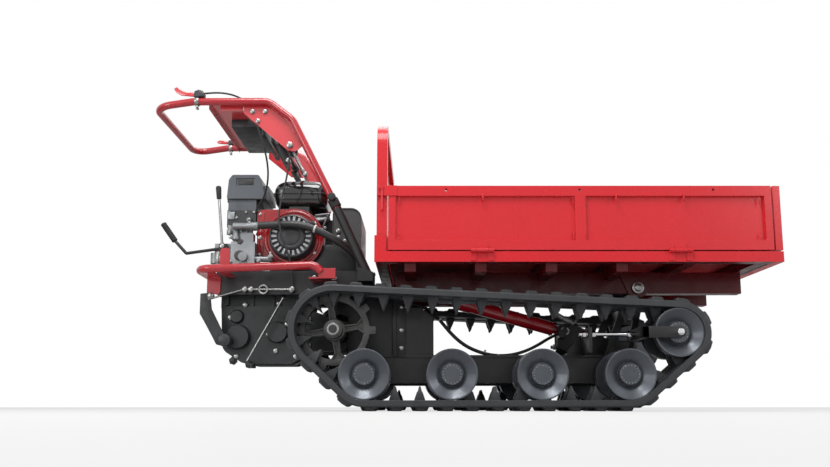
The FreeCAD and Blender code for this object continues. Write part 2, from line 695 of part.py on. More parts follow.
def recoil_starter():
    profile = [(0, 0), (STARTER_R, 0), (STARTER_R, -STARTER_DEEP + 14), (STARTER_R - 14, -STARTER_DEEP),
               (0, -STARTER_DEEP)]
    face = Part.Face(Part.makePolygon([Vector(r, y, 0) for r, y in profile + profile[:1]]))
    cup = face.revolve(Vector(0, 0, 0), Vector(0, 1, 0), 360)
    centre = across(0, 0, -STARTER_DEEP - 4, -STARTER_DEEP, 40)
    slots = []
    for i in range(SLOTS):
        slot = box(50, 70, -STARTER_DEEP - 1, -STARTER_DEEP + 10, -6, 6)
        slot.rotate(Vector(0, 0, 0), Vector(0, 1, 0), i * 360.0 / SLOTS)
        slots.append(slot)
    cup = joined([cup, centre]).cut(Part.makeCompound(slots))
    cup.translate(Vector(CRANK_X, SHROUD_Y0, CRANK_Z))
    handle = box(CRANK_X + 60, CRANK_X + 86, SHROUD_Y0 - 40, SHROUD_Y0 - 18, CRANK_Z + 46, CRANK_Z + 58)
    return joined([cup, handle])


save("recoil_starter", recoil_starter())

# Fuel tank: a round-cornered tank with a seam flange and a filler cap
def fuel_tank():
    x0, x1, z0, z1 = TANK_X0, TANK_X1, TANK_Z0, TANK_Z1
    body = plate([(x0 + 8, z0, 34), (x1 - 10, z0, 34), (x1, z1 - 44, 16), (x1 - 12, z1, 34),
                  (x0 + 12, z1, 34), (x0, z1 - 44, 16)], TANK_Y0, TANK_Y1)
    rims = [edge for edge in body.Edges if edge.BoundBox.YLength < 1e-6]
    body = body.makeChamfer(8, rims)
    seam = box(x0 - 4, x1 + 4, TANK_Y0 - 5, TANK_Y1 + 5, TANK_SEAM_Z, TANK_SEAM_Z + 5)
    cap = rod((-616, 50, z1 - 4), (-616, 50, z1 + 22), 30)
    return joined([body, seam, cap])


save("fuel_tank", fuel_tank())

# Air filter: a box with a slanted side on its base, and the carburettor under it
FILTER_Y0, FILTER_Y1 = -80.0, 90.0


def air_filter():
    cover = plate([(-908, 842, 6), (-752, 842, 6), (-772, 918, 10), (-782, 940, 10), (-888, 940, 10),
                   (-902, 920, 10)], FILTER_Y0, FILTER_Y1)
    recess = box(-872, -798, FILTER_Y0 - 1, FILTER_Y0 + 4, 896, 926)
    neck = box(-902, -790, FILTER_Y0 + 6, FILTER_Y1 - 6, 792, 842)
    shoulder = plate([(-775, 842), (-740, 842), (-744, 900, 6), (-775, 900)], FILTER_Y0 + 20, FILTER_Y1 - 20)
    return joined([cover, neck, shoulder]).cut(recess)


save("air_filter", air_filter())


def carburettor():
    body = box(-880, -778, -74, 40, 738, 792)
    bowl = rod((-840, -36, 706), (-840, -36, 738), 30)
    panel = plate([(-900, 716, 8), (-786, 716, 8), (-786, 790), (-900, 790)], -92, -74)
    choke = across(-812, 748, -104, -92, 12)
    throat = rod((-778, -10, 765), (-742, -10, 765), 22)
    return joined([body, bowl, panel, choke, throat]).cut(engine)


save("carburettor", carburettor())


def muffler():
    shell = plate([(-596, 700, 16), (-490, 700, 16), (-490, 806, 16), (-596, 806, 16)], 128, 206)
    flange = box(-588, -548, 120, 128, 704, 744)
    return joined([shell, flange])


save("muffler", muffler())

# Hydraulic valve: two stacked alloy blocks with their fittings, on the deck's right edge
VALVE_Y0, VALVE_Y1 = -192.0, -152.0


def hydraulic_valve():
    low = plate([(-856, ENGINE_Z), (-764, ENGINE_Z), (-764, 640, 4), (-856, 640, 4)], VALVE_Y0, VALVE_Y1)
    high = plate([(-850, 640), (-772, 640), (-772, 676, 4), (-850, 676, 4)], VALVE_Y0 + 6, VALVE_Y1)
    plug = across(-808, 580, VALVE_Y0 - 12, VALVE_Y0, 17)
    port = rod((-764, -172, 576), (-700, -172, 576), 11)
    fittings = [rod((x, -172, 670), (x, -172, z), 9) for x, z in ((-840, 700), (-812, 690), (-786, 694))]
    outlet = joined([rod((-812, -172, 692), (-790, -208, 696), 12), rod((-792, -208, 696), (-764.5, -208, 697), 12)])
    pot = rod((-924, -152, 562), (-924, -152, 602), 18)
    link = box(-926, -856, -158, -152, 560, 640)
    return joined([low, high, plug, port, pot, link, outlet] + fittings)


save("hydraulic_valve", hydraulic_valve())

# Valve levers: an upright chrome rod and a cranked rear lever, both with grips
LEVER_X, LEVER_Z = -889.0, 622.0


def valve_levers():
    axle = across(LEVER_X, LEVER_Z, -196, -158, 9)
    upright = rod((LEVER_X, -190, LEVER_Z), (-908, -190, 815), 5)
    upright_grip = rod((-908, -190, 810), (-912, -190, 858), 10)
    crank = bent_tube([(LEVER_X, -174, LEVER_Z), (-1030, -174, 598), (-1076, -174, 646)], 6, 18)
    crank_grip = rod((-1074, -174, 644), (-1124, -174, 714), 11)
    return joined([axle, upright, upright_grip, crank, crank_grip])


save("valve_levers", valve_levers())

# Oil tank: a tall rounded tank ahead of the engine, on two feet
OIL = dict(x0=-478.0, x1=-364.0, y=120.0, z0=575.0, z1=792.0)


def oil_tank():
    body = plate([(OIL["x0"], OIL["z0"], 12), (OIL["x1"], OIL["z0"], 12), (OIL["x1"], OIL["z1"], 48),
                  (OIL["x0"], OIL["z1"], 30)], -OIL["y"], OIL["y"])
    feet = [box(x, x + 12, -OIL["y"], OIL["y"], DECK_Z1, OIL["z0"]) for x in (-460, -400)]
    cap = rod((-420, 40, OIL["z1"] - 2), (-420, 40, OIL["z1"] + 24), 20)
    return joined([body, cap] + feet)


save("oil_tank", oil_tank())

# Handlebar: one bent tube, its front ends clamped in two raked posts
SOCKET_X, SOCKET_Z = -446.0, 753.0
POST_FOOT_X, POST_FOOT_Z = -328.0, 500.0
HANDLE_SIDE = [(SOCKET_X, SOCKET_Z), (-621.0, 1103.0), (-710.0, 1173.0), (-1002.0, 1172.0), (-1147.0, 1150.0)]
HANDLE_BEND = 60.0


def handlebar():
    y = HANDLE_Y
    points = [(x, -y, z) for x, z in HANDLE_SIDE] + [(x, y, z) for x, z in reversed(HANDLE_SIDE)]
    return bent_tube(points, HANDLE_R, HANDLE_BEND)


save("handlebar", handlebar())


def handle_post():
    y = -HANDLE_Y
    way = Vector(POST_FOOT_X - SOCKET_X, 0, POST_FOOT_Z - SOCKET_Z)
    way.normalize()
    start = Vector(SOCKET_X, y, SOCKET_Z) + way * (2 * SEAT)
    post = rod(tuple(start), (POST_FOOT_X, y, POST_FOOT_Z), POST_R)
    foot = plate([(-365, 526, 6), (-308, 508), (-308, 474), (-365, 474)], y - 20, -DECK_Y)
    gusset = plate([(-372, 520), (-330, 520), (-352, 600, 6), (-376, 600, 6)], y + POST_R - 4, -DECK_Y)
    return joined([post, foot, gusset])


save_pair("handle_post", handle_post())

# Console: two cheeks inside the handlebar, a sheet between them and a box under it
CHEEK = 3.5
CHEEK_OUT = HANDLE_Y - HANDLE_R - SEAT
CHEEK_SIDE = [(-811, 1173), (-811, 1132), (-642, 987, 6), (-611, 980, 6), (-585, 1000), (-640, 1098, 10),
              (-715, 1173, 10)]
SHEET_Z = 1166.0


def console():
    near = plate(CHEEK_SIDE, -CHEEK_OUT, -CHEEK_OUT + CHEEK)
    far = plate([(-811, 1173), (-811, 1117), (-708, 1032, 6), (-650, 1028), (-600, 975, 6), (-585, 1000),
                 (-640, 1098, 10), (-715, 1173, 10)], CHEEK_OUT - CHEEK, CHEEK_OUT)
    sheet = box(-945, -811, -CHEEK_OUT, CHEEK_OUT, SHEET_Z, SHEET_Z + 3)
    lip = box(-945, -942, -CHEEK_OUT, CHEEK_OUT, SHEET_Z - 18, SHEET_Z)
    tray = box(-902, -814, -CHEEK_OUT + CHEEK, 70, SHEET_Z - 22, SHEET_Z)
    bar = across(-627, 995, -CHEEK_OUT, CHEEK_OUT, 8)
    anchor = box(-641, -623, -CHEEK_OUT, -CHEEK_OUT + 20, 984, 1010)
    return joined([near, far, sheet, lip, tray, bar, anchor])


save("console", console())

# Hand levers: the throttle on the right tube, the clutch lever on the left one,
# and the shift lever's bell crank on the console's cross bar
def hand_levers():
    y = -HANDLE_Y
    collar = rod((-994, y, 1172), (-978, y, 1172), HANDLE_R + 4)
    collar = collar.cut(rod((-996, y, 1172), (-976, y, 1172), HANDLE_R + SEAT))
    housing = plate([(-996, 1187, 4), (-958, 1188, 8), (-958, 1214, 12), (-996, 1212, 12)], y - 14, y + 10)
    blade = plate([(-990, 1190, 4), (-990, 1208, 4), (-1040, 1210, 6), (-1062, 1232, 8), (-1076, 1222, 6),
                   (-1050, 1196, 8)], y - 9, y - 3)
    far_collar = collar.mirror(Vector(0, 0, 0), Vector(0, 1, 0))
    far_housing = plate([(-998, 1187, 4), (-962, 1188, 6), (-962, 1206, 8), (-998, 1206, 8)], -y - 12, -y + 12)
    far_blade = plate([(-996, 1190), (-996, 1204), (-1044, 1208, 6), (-1050, 1196, 6)], -y - 4, -y + 4)
    return joined([collar, housing, blade]), joined([far_collar, far_housing, far_blade])




def bell_crank():
    hub = across(-627, 995, -214, -180, 20)
    hub = hub.cut(across(-627, 995, -215, -179, 8 + SEAT))
    lever = plate([(-640, 990, 6), (-612, 990, 6), (-648, 1090, 8), (-676, 1084, 8)], -206, -196)
    lever = lever.cut(across(-627, 995, -215, -179, 8 + SEAT))
    pull = rod((-598, -200, 985), (-560, -200, 870), 5)
    clevis = box(-622, -590, -210, -190, 975, 995)
    clevis = clevis.cut(across(-627, 995, -215, -179, 8 + SEAT))
    return joined([hub, lever, pull, clevis])


save("hand_levers", Part.makeCompound(list(hand_levers()) + [bell_crank()]))

# Hoses and cables
HOSE_R = 14.0
THIN_HOSE_R = 6.0
CABLE_R = 3.5
SLEEVE = [
    (-764, -208, 697), (-722, -208, 700), (-670, -209, 703), (-610, -210, 704), (-550, -208, 692),
    (-490, -200, 664), (-430, -186, 632), (-382, -162, 592), (-352, -144, 548), (-343, -132, 502),
    (-326, -124, 459), (-294, -116, 427), (-254, -110, 411), (-214, -110, 408)]
LIFT_HOSE = [
    (-213.3, 0, 408), (-183, 0, 407), (-152, 0, 404), (-112, 0, 396), (-74, 0, 368), (-40, 0, 326),
    (-4, 0, 284), (40, 0, 248), (92, 0, 224), (150, 0, 210), (210, 0, 211), (268, 0, 226),
    (322, 16, 252), (368, 38, 281), (407, 58, 299)]
LIFT_HOSE_YS = (-118.0, -102.0)
THROTTLE_CABLE = [
    (-958, -262, 1202), (-920, -262, 1206), (-878, -256, 1206), (-840, -241, 1201), (-804, -229, 1184),
    (-786, -223, 1148), (-768, -220, 1102), (-750, -214, 1054), (-736, -204, 1006), (-727, -186, 958),
    (-727, -160, 912), (-738, -130, 868), (-757, -104, 832), (-776, -91, 812), (-788, -84, 792.2)]
CLUTCH_CABLE = [
    (-632, -228, 983.5), (-636, -229, 930), (-642, -230, 880), (-653, -231, 830), (-662, -234, 780),
    (-668, -235, 735), (-664, -234, 690), (-652, -232, 645), (-636, -226, 600), (-622, -218, 556),
    (-616, -212, 510), (-614, -209, 460)]
save("hydraulic_hoses", Part.makeCompound(
    [hose(SLEEVE, HOSE_R)]
    + [hose([(x, y + side, z) for x, side, z in LIFT_HOSE], THIN_HOSE_R) for y in LIFT_HOSE_YS]))
save("control_cables", Part.makeCompound([hose(THROTTLE_CABLE, CABLE_R), hose(CLUTCH_CABLE, CABLE_R)]))


# Hinges of the gates, made along X for a face at y = 0 that looks to -Y
def fixed_knuckles(start):
    pin_y = -HINGE_OUT
    pin = rod((start, pin_y, HINGE_Z), (start + HINGE_LENGTH, pin_y, HINGE_Z), HINGE_PIN_R)
    shapes = [pin]
    for x in (start, start + HINGE_LENGTH - KNUCKLE):
        shapes.append(rod((x, pin_y, HINGE_Z), (x + KNUCKLE, pin_y, HINGE_Z), HINGE_R))
        shapes.append(box(x, x + KNUCKLE, -HINGE_LEAF, 0, FRAME_Z0 + 4, HINGE_Z))
    return shapes


def gate_knuckle(start):
    x0, x1 = start + KNUCKLE + 1, start + HINGE_LENGTH - KNUCKLE - 1
    turning = rod((x0, -HINGE_OUT, HINGE_Z), (x1, -HINGE_OUT, HINGE_Z), HINGE_R)
    leaf = box(x0, x1, -HINGE_LEAF, 0, HINGE_Z, HINGE_Z + HINGE_LEAF_HIGH)
    bore = rod((x0, -HINGE_OUT, HINGE_Z), (x1, -HINGE_OUT, HINGE_Z), HINGE_PIN_R + SEAT)
    return [joined([turning, leaf]).cut(bore)]


def on_side(shapes):
    for shape in shapes:
        shape.translate(Vector(0, -BED_Y, 0))
    return shapes


def on_front(shapes):
    for shape in shapes:
        shape.rotate(Vector(0, 0, 0), Vector(0, 0, 1), 90)
        shape.translate(Vector(BED_X1, 0, 0))
    return shapes


# Bed: frame with underframe, floor, headboard and three gates
RIB_PITCH = 250.0
RIB_START = -190.0
RIB_COUNT = 6
RIB = 40.0
RIB_Z0 = 489.0


def bed_frame():
    y = BED_Y
    long_side = box(BED_X0, BED_X1, -y, -y + FRAME_WIDTH, FRAME_Z0, FRAME_Z1)
    ends = [box(x, x + FRAME_WIDTH, -y, y, FRAME_Z0, FRAME_Z1) for x in (BED_X0, BED_X1 - FRAME_WIDTH)]
    rail = box(RAIL_X0, RAIL_X1, -RAIL_OUT, -RAIL_IN, RAIL_Z0, FRAME_Z0)
    cheek = plate([(PIVOT_X - 70, FRAME_Z0), (PIVOT_X - 30, PIVOT_Z - 32, 26), (PIVOT_X + 30, PIVOT_Z - 32, 26),
                   (PIVOT_X + 70, FRAME_Z0)], -RAIL_OUT - PIVOT_CHEEK, -RAIL_OUT)
    rail = rail.fuse(cheek).cut(across(PIVOT_X, PIVOT_Z, -RAIL_OUT - PIVOT_CHEEK, -RAIL_IN, PIVOT_R + PIN_FIT))
    ribs = []
    for i in range(RIB_COUNT):
        x = RIB_START + i * RIB_PITCH
        if x < PIVOT_X - 80:
            ribs.append(box(x, x + RIB, -y + 20, y - 20, RIB_Z0, FRAME_Z0))
        ribs.append(box(x, x + RIB, -y + FRAME_WIDTH, y - FRAME_WIDTH, FRAME_Z0, FRAME_Z1))
    ear = plate([(EYE_X - 40, RIB_Z0), (EYE_X + 60, RIB_Z0), (EYE_X + 30, EYE_Z - 25, 22),
                 (EYE_X - 30, EYE_Z - 25, 22)], -EAR_GAP - EAR, -EAR_GAP)
    heads = [across(EYE_X, EYE_Z, side * (EAR_GAP + EAR), side * (EAR_GAP + EAR + 8), 14) for side in (-1, 1)]
    tie = box(EYE_X - 50, EYE_X + 70, -RAIL_IN, RAIL_IN, RIB_Z0, FRAME_Z0)
    pocket = box(BED_X0 - 3, BED_X0 + 38, -y, -HEAD_Y, FRAME_Z0, 616)
    hinges = []
    for start in HINGE_STARTS:
        for piece in on_side(fixed_knuckles(start)):
            hinges += both_sides(piece)
    for start in FRONT_HINGE_STARTS:
        hinges += on_front(fixed_knuckles(start))
    return joined(both_sides(long_side) + both_sides(rail) + both_sides(ear) + both_sides(pocket)
                  + ends + ribs + heads + [tie] + hinges)


save("bed_frame", bed_frame())
save("bed_floor", box(BED_X0 + 41, BED_X1 - GATE_THICK - 5, -BED_Y + GATE_THICK + 5,
                      BED_Y - GATE_THICK - 5, FRAME_Z1, FRAME_Z1 + FLOOR))


# Headboard: a hoop of box tube with a sheet in it, one pressed step across it
def headboard():
    outside = plate([(-HEAD_Y, FRAME_Z1), (HEAD_Y, FRAME_Z1), (HEAD_Y, HEAD_Z1, HOOP_BEND),
                     (-HEAD_Y, HEAD_Z1, HOOP_BEND)], 0, HEAD_X1 - HEAD_X0)
    inner_y, inner_z = HEAD_Y - POST, HEAD_Z1 - POST
    inside = plate([(-inner_y, FRAME_Z1), (inner_y, FRAME_Z1), (inner_y, inner_z, HOOP_BEND - POST),
                    (-inner_y, inner_z, HOOP_BEND - POST)], 0, HEAD_X1 - HEAD_X0)
    sheet = inside.common(box(-HEAD_Y, HEAD_Y, 16, 19, FRAME_Z1, HEAD_Z1))
    hoop = outside.cut(inside).fuse(sheet)
    hoop.rotate(Vector(0, 0, 0), Vector(0, 0, 1), -90)
    hoop.translate(Vector(HEAD_X0, 0, 0))
    ribs = [box(HEAD_X0 + 4, HEAD_X0 + 16, -HEAD_Y + POST, HEAD_Y - POST, z, z + 30) for z in (700, 860)]
    return joined([hoop] + ribs)


save("headboard", headboard())

GATE_STILE = 25.0
GATE_MID_X, GATE_MID = 415.0, 38.0
STRAP_X0 = -288.0
STRAP = 4.0


def side_gate():
    y0, y1 = -BED_Y, -BED_Y + GATE_THICK
    skin = box(GATE_X0, GATE_X1, y0 + 12, y0 + 15, GATE_Z0, GATE_Z1)
    rails = [box(GATE_X0, GATE_X1, y0, y1, GATE_Z1 - GATE_TOP_RAIL, GATE_Z1),
             box(GATE_X0, GATE_X1, y0, y1, GATE_Z0, GATE_Z0 + GATE_FOOT_RAIL)]
    stiles = [box(x, x + w, y0, y1, GATE_Z0, GATE_Z1)
              for x, w in ((GATE_X0, GATE_STILE), (GATE_MID_X, GATE_MID), (GATE_X1 - GATE_STILE, GATE_STILE))]
    strap = box(STRAP_X0, GATE_X0 + 30, y0 - STRAP, y0, GATE_Z1 - GATE_TOP_RAIL, GATE_Z1)
    latch = rod((-270, y0 - STRAP - 3, 706), (-270, y0 - STRAP - 3, GATE_Z1 - 6), 4)
    hook = box(STRAP_X0 + 6, STRAP_X0 + 22, y0 - STRAP - 8, y0 - STRAP, GATE_Z1 - 14, GATE_Z1 - 2)
    knuckles = []
    for start in HINGE_STARTS:
        knuckles += on_side(gate_knuckle(start))
    holes = [rod((x, y0, GATE_Z1 - 15), (x, y1, GATE_Z1 - 15), GATE_HOLE_R) for x in GATE_HOLE_XS]
    return joined([skin, strap, latch, hook] + rails + stiles + knuckles).cut(Part.makeCompound(holes))


save_pair("side_gate", side_gate())


def front_gate():
    x0, x1 = BED_X1 - GATE_THICK, BED_X1
    y = BED_Y - 2
    skin = box(x0 + 10, x0 + 13, -y, y, GATE_Z0, GATE_Z1)
    rails = [box(x0, x1, -y, y, GATE_Z1 - GATE_TOP_RAIL, GATE_Z1),
             box(x0, x1, -y, y, GATE_Z0, GATE_Z0 + GATE_FOOT_RAIL)]
    stiles = [box(x0, x1, s, s + w, GATE_Z0, GATE_Z1)
              for s, w in ((-y, GATE_STILE), (-GATE_MID / 2, GATE_MID), (y - GATE_STILE, GATE_STILE))]
    knuckles = []
    for start in FRONT_HINGE_STARTS:
        knuckles += on_front(gate_knuckle(start))
    return joined([skin] + rails + stiles + knuckles)


save("front_gate", front_gate())


# Lift cylinder, retracted, from its base pin to the bed's ears
GLAND = 44.0


def lift_cylinder():
    base = Vector(BASE_X, 0, BASE_Z)
    eye = Vector(EYE_X, 0, EYE_Z)
    way = eye - base
    length = way.Length
    way.normalize()
    foot = across(BASE_X, BASE_Z, -EYE_WIDTH / 2, EYE_WIDTH / 2, 24)
    neck = rod(tuple(base), tuple(base + way * 50), EYE_WIDTH / 2)
    barrel = rod(tuple(base + way * 42), tuple(base + way * (length - 70)), BARREL_R)
    gland = rod(tuple(base + way * (length - 70 - GLAND)), tuple(base + way * (length - 66)), BARREL_R + 4)
    hole = across(BASE_X, BASE_Z, -60, 60, BASE_PIN_R + PIN_FIT)
    inside = rod(tuple(base + way * 60), tuple(base + way * length), ROD_R + PIN_FIT)
    barrel = joined([foot, neck, barrel, gland]).cut(hole).cut(inside)
    piston = rod(tuple(base + way * 70), tuple(eye - way * 10), ROD_R)
    head = across(EYE_X, EYE_Z, -EYE_WIDTH / 2, EYE_WIDTH / 2, EYE_R)
    return barrel, joined([piston, head])


barrel, piston_rod = lift_cylinder()
save("lift_barrel", barrel)
save("lift_rod", piston_rod)
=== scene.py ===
"""Looks of the crawler carrier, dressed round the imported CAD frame."""
import math

import bmesh
import bpy
from mathutils import Matrix, Vector


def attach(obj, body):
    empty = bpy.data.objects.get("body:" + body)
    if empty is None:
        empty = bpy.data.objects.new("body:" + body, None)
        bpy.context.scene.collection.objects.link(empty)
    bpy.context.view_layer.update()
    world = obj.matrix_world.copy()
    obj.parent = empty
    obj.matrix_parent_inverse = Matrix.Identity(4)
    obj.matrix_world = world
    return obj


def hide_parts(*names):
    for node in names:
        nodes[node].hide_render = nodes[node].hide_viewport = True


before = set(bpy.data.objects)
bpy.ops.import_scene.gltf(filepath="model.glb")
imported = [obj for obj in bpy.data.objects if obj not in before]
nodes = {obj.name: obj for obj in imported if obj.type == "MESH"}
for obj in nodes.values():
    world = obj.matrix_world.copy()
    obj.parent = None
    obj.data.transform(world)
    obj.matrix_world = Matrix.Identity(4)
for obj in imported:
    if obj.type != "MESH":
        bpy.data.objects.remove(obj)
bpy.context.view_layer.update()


# Camera. It stood almost on the floor, level with the middle of the machine and square to its
# right side, and was tilted up a little. The distance and the tilt come from the picture's
# vanishing points.
LENS_PLACE = (-0.141, -2.93, 0.016)
LENS_TILT = 7.65
LENS_LENGTH = 31.8
FILM_WIDTH = 36.0
LENS_SHIFT = (-0.004, 0.09)
lens = bpy.data.cameras.new("studio_camera")
lens.sensor_width = FILM_WIDTH
lens.lens = LENS_LENGTH
lens.shift_x, lens.shift_y = LENS_SHIFT
camera = bpy.data.objects.new("studio_camera", lens)
camera.location = LENS_PLACE
camera.rotation_euler = (math.radians(90 + LENS_TILT), 0, 0)
bpy.context.scene.collection.objects.link(camera)
bpy.context.scene.camera = camera
bpy.context.scene.view_settings.view_transform = "Standard"


# Studio: a pale floor that runs to the horizon, a white surround, and four large soft lamps.
# The surround is white only where the lens, a mirror or glass looks at it, so that it doesn't
# light the machine.
SURROUND_LIGHT = 0.22
FLOOR_REACH = 14
FLOOR_TONES = ((0.60, 0.60, 0.60, 1), (0.66, 0.66, 0.66, 1))
FLOOR_ROUGHNESS = 0.62
FLOOR_GLOW = 0.62
WHITE = (1, 1, 1, 1)


def add(tree, kind, inputs=(), **settings):
    """A node with its settings. Each input is a value, or the socket that it is linked from."""
    node = tree.nodes.new(kind)
    for key, value in settings.items():
        setattr(node, key, value)
    for key, value in dict(inputs).items():
        if isinstance(value, bpy.types.NodeSocket):
            tree.links.new(value, node.inputs[key])
        else:
            node.inputs[key].default_value = value
    return node


floor_mesh = bpy.data.meshes.new("studio_floor")
floor_mesh.from_pydata([(x * FLOOR_REACH, y * FLOOR_REACH, 0) for x, y in ((-1, -1), (1, -1), (1, 1), (-1, 1))],
                       [], [(0, 1, 2, 3)])
floor = bpy.data.objects.new("studio_floor", floor_mesh)
bpy.context.scene.collection.objects.link(floor)
floor_paint = bpy.data.materials.new("studio_floor")
floor_paint.use_nodes = True
floor_tree = floor_paint.node_tree
floor_shader = floor_tree.nodes["Principled BSDF"]
floor_shader.inputs["Roughness"].default_value = FLOOR_ROUGHNESS
floor_grain = add(floor_tree, "ShaderNodeTexNoise", {"Scale": 3.0})
floor_tone = add(floor_tree, "ShaderNodeMix", {
    "Factor": floor_grain.outputs["Fac"], "A": FLOOR_TONES[0], "B": FLOOR_TONES[1]}, data_type="RGBA")
floor_tree.links.new(floor_tone.outputs["Result"], floor_shader.inputs["Base Color"])
floor_glow = add(floor_tree, "ShaderNodeEmission", {"Color": WHITE})
floor_seen = add(floor_tree, "ShaderNodeLightPath")
floor_share = add(floor_tree, "ShaderNodeMapRange", {
    "Value": floor_seen.outputs["Is Camera Ray"], "To Max": FLOOR_GLOW})
floor_both = add(floor_tree, "ShaderNodeMixShader", {
    "Fac": floor_share.outputs["Result"], 1: floor_shader.outputs["BSDF"], 2: floor_glow.outputs["Emission"]})
floor_tree.links.new(floor_both.outputs["Shader"], floor_tree.nodes["Material Output"].inputs["Surface"])
floor_mesh.materials.append(floor_paint)

surround = bpy.data.worlds.new("studio_surround")
surround.use_nodes = True
bpy.context.scene.world = surround
sky = surround.node_tree
ray = add(sky, "ShaderNodeLightPath").outputs
seen = add(sky, "ShaderNodeMath", {0: ray["Is Camera Ray"], 1: ray["Is Transmission Ray"]}, operation="MAXIMUM")
mirrored = add(sky, "ShaderNodeMath", {0: seen.outputs[0], 1: ray["Is Glossy Ray"]}, operation="MAXIMUM")
strength = add(sky, "ShaderNodeMapRange", {
    "Value": mirrored.outputs[0], "To Min": SURROUND_LIGHT, "To Max": 1.0})
sky_light = sky.nodes["Background"]
sky_light.inputs["Color"].default_value = WHITE
sky.links.new(strength.outputs["Result"], sky_light.inputs["Strength"])

LAMPS = [  # name, place, aim, size, watts
    ("lamp_right", (-0.6, -1.9, 3.3), (0.0, -0.3, 0.35), 1.6, 84.0),
    ("lamp_low", (-2.6, -3.0, 1.3), (0.0, 0.0, 0.45), 1.4, 24.0),
    ("lamp_front", (2.8, -2.4, 1.9), (0.3, 0.0, 0.45), 1.4, 24.0),
    ("lamp_top", (0.2, 0.9, 3.6), (0.0, 0.0, 0.5), 2.0, 40.0),
]
for lamp_name, place, aim, size, watts in LAMPS:
    lamp_data = bpy.data.lights.new(lamp_name, "AREA")
    lamp_data.size = size
    lamp_data.energy = watts
    lamp = bpy.data.objects.new(lamp_name, lamp_data)
    lamp.location = place
    lamp.rotation_euler = (Vector(aim) - Vector(place)).to_track_quat("-Z", "Y").to_euler()
    bpy.context.scene.collection.objects.link(lamp)


# Chassis: track beams, cross members, the two towers and the engine deck, all folded and welded
# from steel plate, shot-blasted and powder coated in satin black. Plate edges are painted a little
# lighter in patches, partly as wear and partly as a painted edge highlight.
BLACK_COAT = (0.017, 0.017, 0.018)


def surfaced(name, colour, rough, metallic=0.0, coat=0.0, mottle=0.10, mottle_scale=9.0, rough_swing=0.10,
             grain_scale=1400.0, grain=0.12, edge_wear_and_highlight=None, edge_wear_and_highlight_by=0.5, soft_edge=0.0012, dust=0.0, shine=0.5):
    """A material with clouded colour, uneven gloss, grain, soft edges, edges painted lighter in patches as wear
    and painted highlight, and settled dust.
    """
    material = bpy.data.materials.new(name)
    material.use_nodes = True
    material.diffuse_color = (*colour, 1)
    tree = material.node_tree
    shader = tree.nodes["Principled BSDF"]
    for key, value in (("Metallic", metallic), ("Coat Weight", coat), ("Coat Roughness", 0.07),
                       ("Specular IOR Level", shine)):
        shader.inputs[key].default_value = value
    spot = add(tree, "ShaderNodeTexCoord")

    def noise(scale, detail):
        return add(tree, "ShaderNodeTexNoise", {
            "Vector": spot.outputs["Object"], "Scale": scale, "Detail": detail,
            "Roughness": 0.55}).outputs["Fac"]

    def span(value, low, high, to_low, to_high):
        return add(tree, "ShaderNodeMapRange", {
            "Value": value, "From Min": low, "From Max": high, "To Min": to_low,
            "To Max": to_high}).outputs["Result"]

    def mix(share, first, second):
        tones = {key: (*tone, 1) if isinstance(tone, tuple) else tone for key,
                 tone in (("A", first), ("B", second))}
        return add(tree, "ShaderNodeMix", {"Factor": share, **tones}, data_type="RGBA").outputs["Result"]

    def product(first, second):
        return add(tree, "ShaderNodeMath", {0: first, 1: second}, operation="MULTIPLY").outputs[0]

    cloud = noise(mottle_scale, 5.0)
    dark = tuple(c * (1 - mottle) for c in colour)
    light = tuple(min(c * (1 + mottle), 1.0) for c in colour)
    tone = mix(span(cloud, 0.3, 0.7, 0.0, 1.0), dark, light)
    gloss = span(noise(mottle_scale * 3.1, 4.0), 0.3, 0.7, max(rough - rough_swing, 0.03),
                 min(rough + rough_swing, 1.0))

    rounded = add(tree, "ShaderNodeBevel", {"Radius": soft_edge}, samples=4)
    # Edges are painted lighter in patches where the bevelled normal turns from the face's own: partly wear,
    # partly a painted edge highlight.
    if edge_wear_and_highlight is not None:
        faces = add(tree, "ShaderNodeNewGeometry")
        likeness = add(tree, "ShaderNodeVectorMath", {
            0: rounded.outputs["Normal"], 1: faces.outputs["True Normal"]}, operation="DOT_PRODUCT")
        edge = span(likeness.outputs["Value"], 0.99, 0.85, 0.0, edge_wear_and_highlight_by)
        tone = mix(product(edge, span(noise(mottle_scale * 14, 3.0), 0.42, 0.6, 0.0, 1.0)), tone, edge_wear_and_highlight)
    if dust:
        up = add(tree, "ShaderNodeNewGeometry")
        parts = add(tree, "ShaderNodeSeparateXYZ", {"Vector": up.outputs["Normal"]})
        settled = product(span(parts.outputs["Z"], 0.2, 0.95, 0.15, 1.0),
                          span(noise(31.0, 5.0), 0.4, 0.72, 0.0, dust))
        tone = mix(settled, tone, (0.30, 0.285, 0.26))
    bump = add(tree, "ShaderNodeBump", {
        "Strength": grain, "Distance": 0.0006, "Height": noise(grain_scale, 3.0),
        "Normal": rounded.outputs["Normal"]})
    for value, key in ((tone, "Base Color"), (gloss, "Roughness"), (bump.outputs["Normal"], "Normal")):
        tree.links.new(value, shader.inputs[key])
    return material


def dress(material, *names):
    """Give carried-over CAD nodes their material."""
    for name in names:
        mesh = nodes[name].data
        mesh.materials.clear()
        mesh.materials.append(material)


black_coat = surfaced("black_powder_coat", BLACK_COAT, 0.40, mottle=0.15, grain_scale=700.0, grain=0.22,
                      edge_wear_and_highlight=(0.12, 0.12, 0.122), edge_wear_and_highlight_by=0.55, dust=0.05, shine=0.35)
dress(black_coat, "track_beam_right", "track_beam_left", "cross_members", "front_tower", "rear_tower",
      "engine_deck")


def new_object(name, data):
    made = bpy.data.objects.new(name, data)
    bpy.context.scene.collection.objects.link(made)
    return made


def mesh_of(name, build):
    """A mesh from a function that fills a bmesh, with its faces turned outwards."""
    work = bmesh.new()
    build(work)
    bmesh.ops.recalc_face_normals(work, faces=work.faces)
    mesh = bpy.data.meshes.new(name)
    work.to_mesh(mesh)
    work.free()
    return mesh


def smooth_to(mesh, degrees=32.0):
    """Smooth shading, with edges sharper than this left crisp."""
    mesh.polygons.foreach_set("use_smooth", [True] * len(mesh.polygons))
    mesh.set_sharp_from_angle(angle=math.radians(degrees))


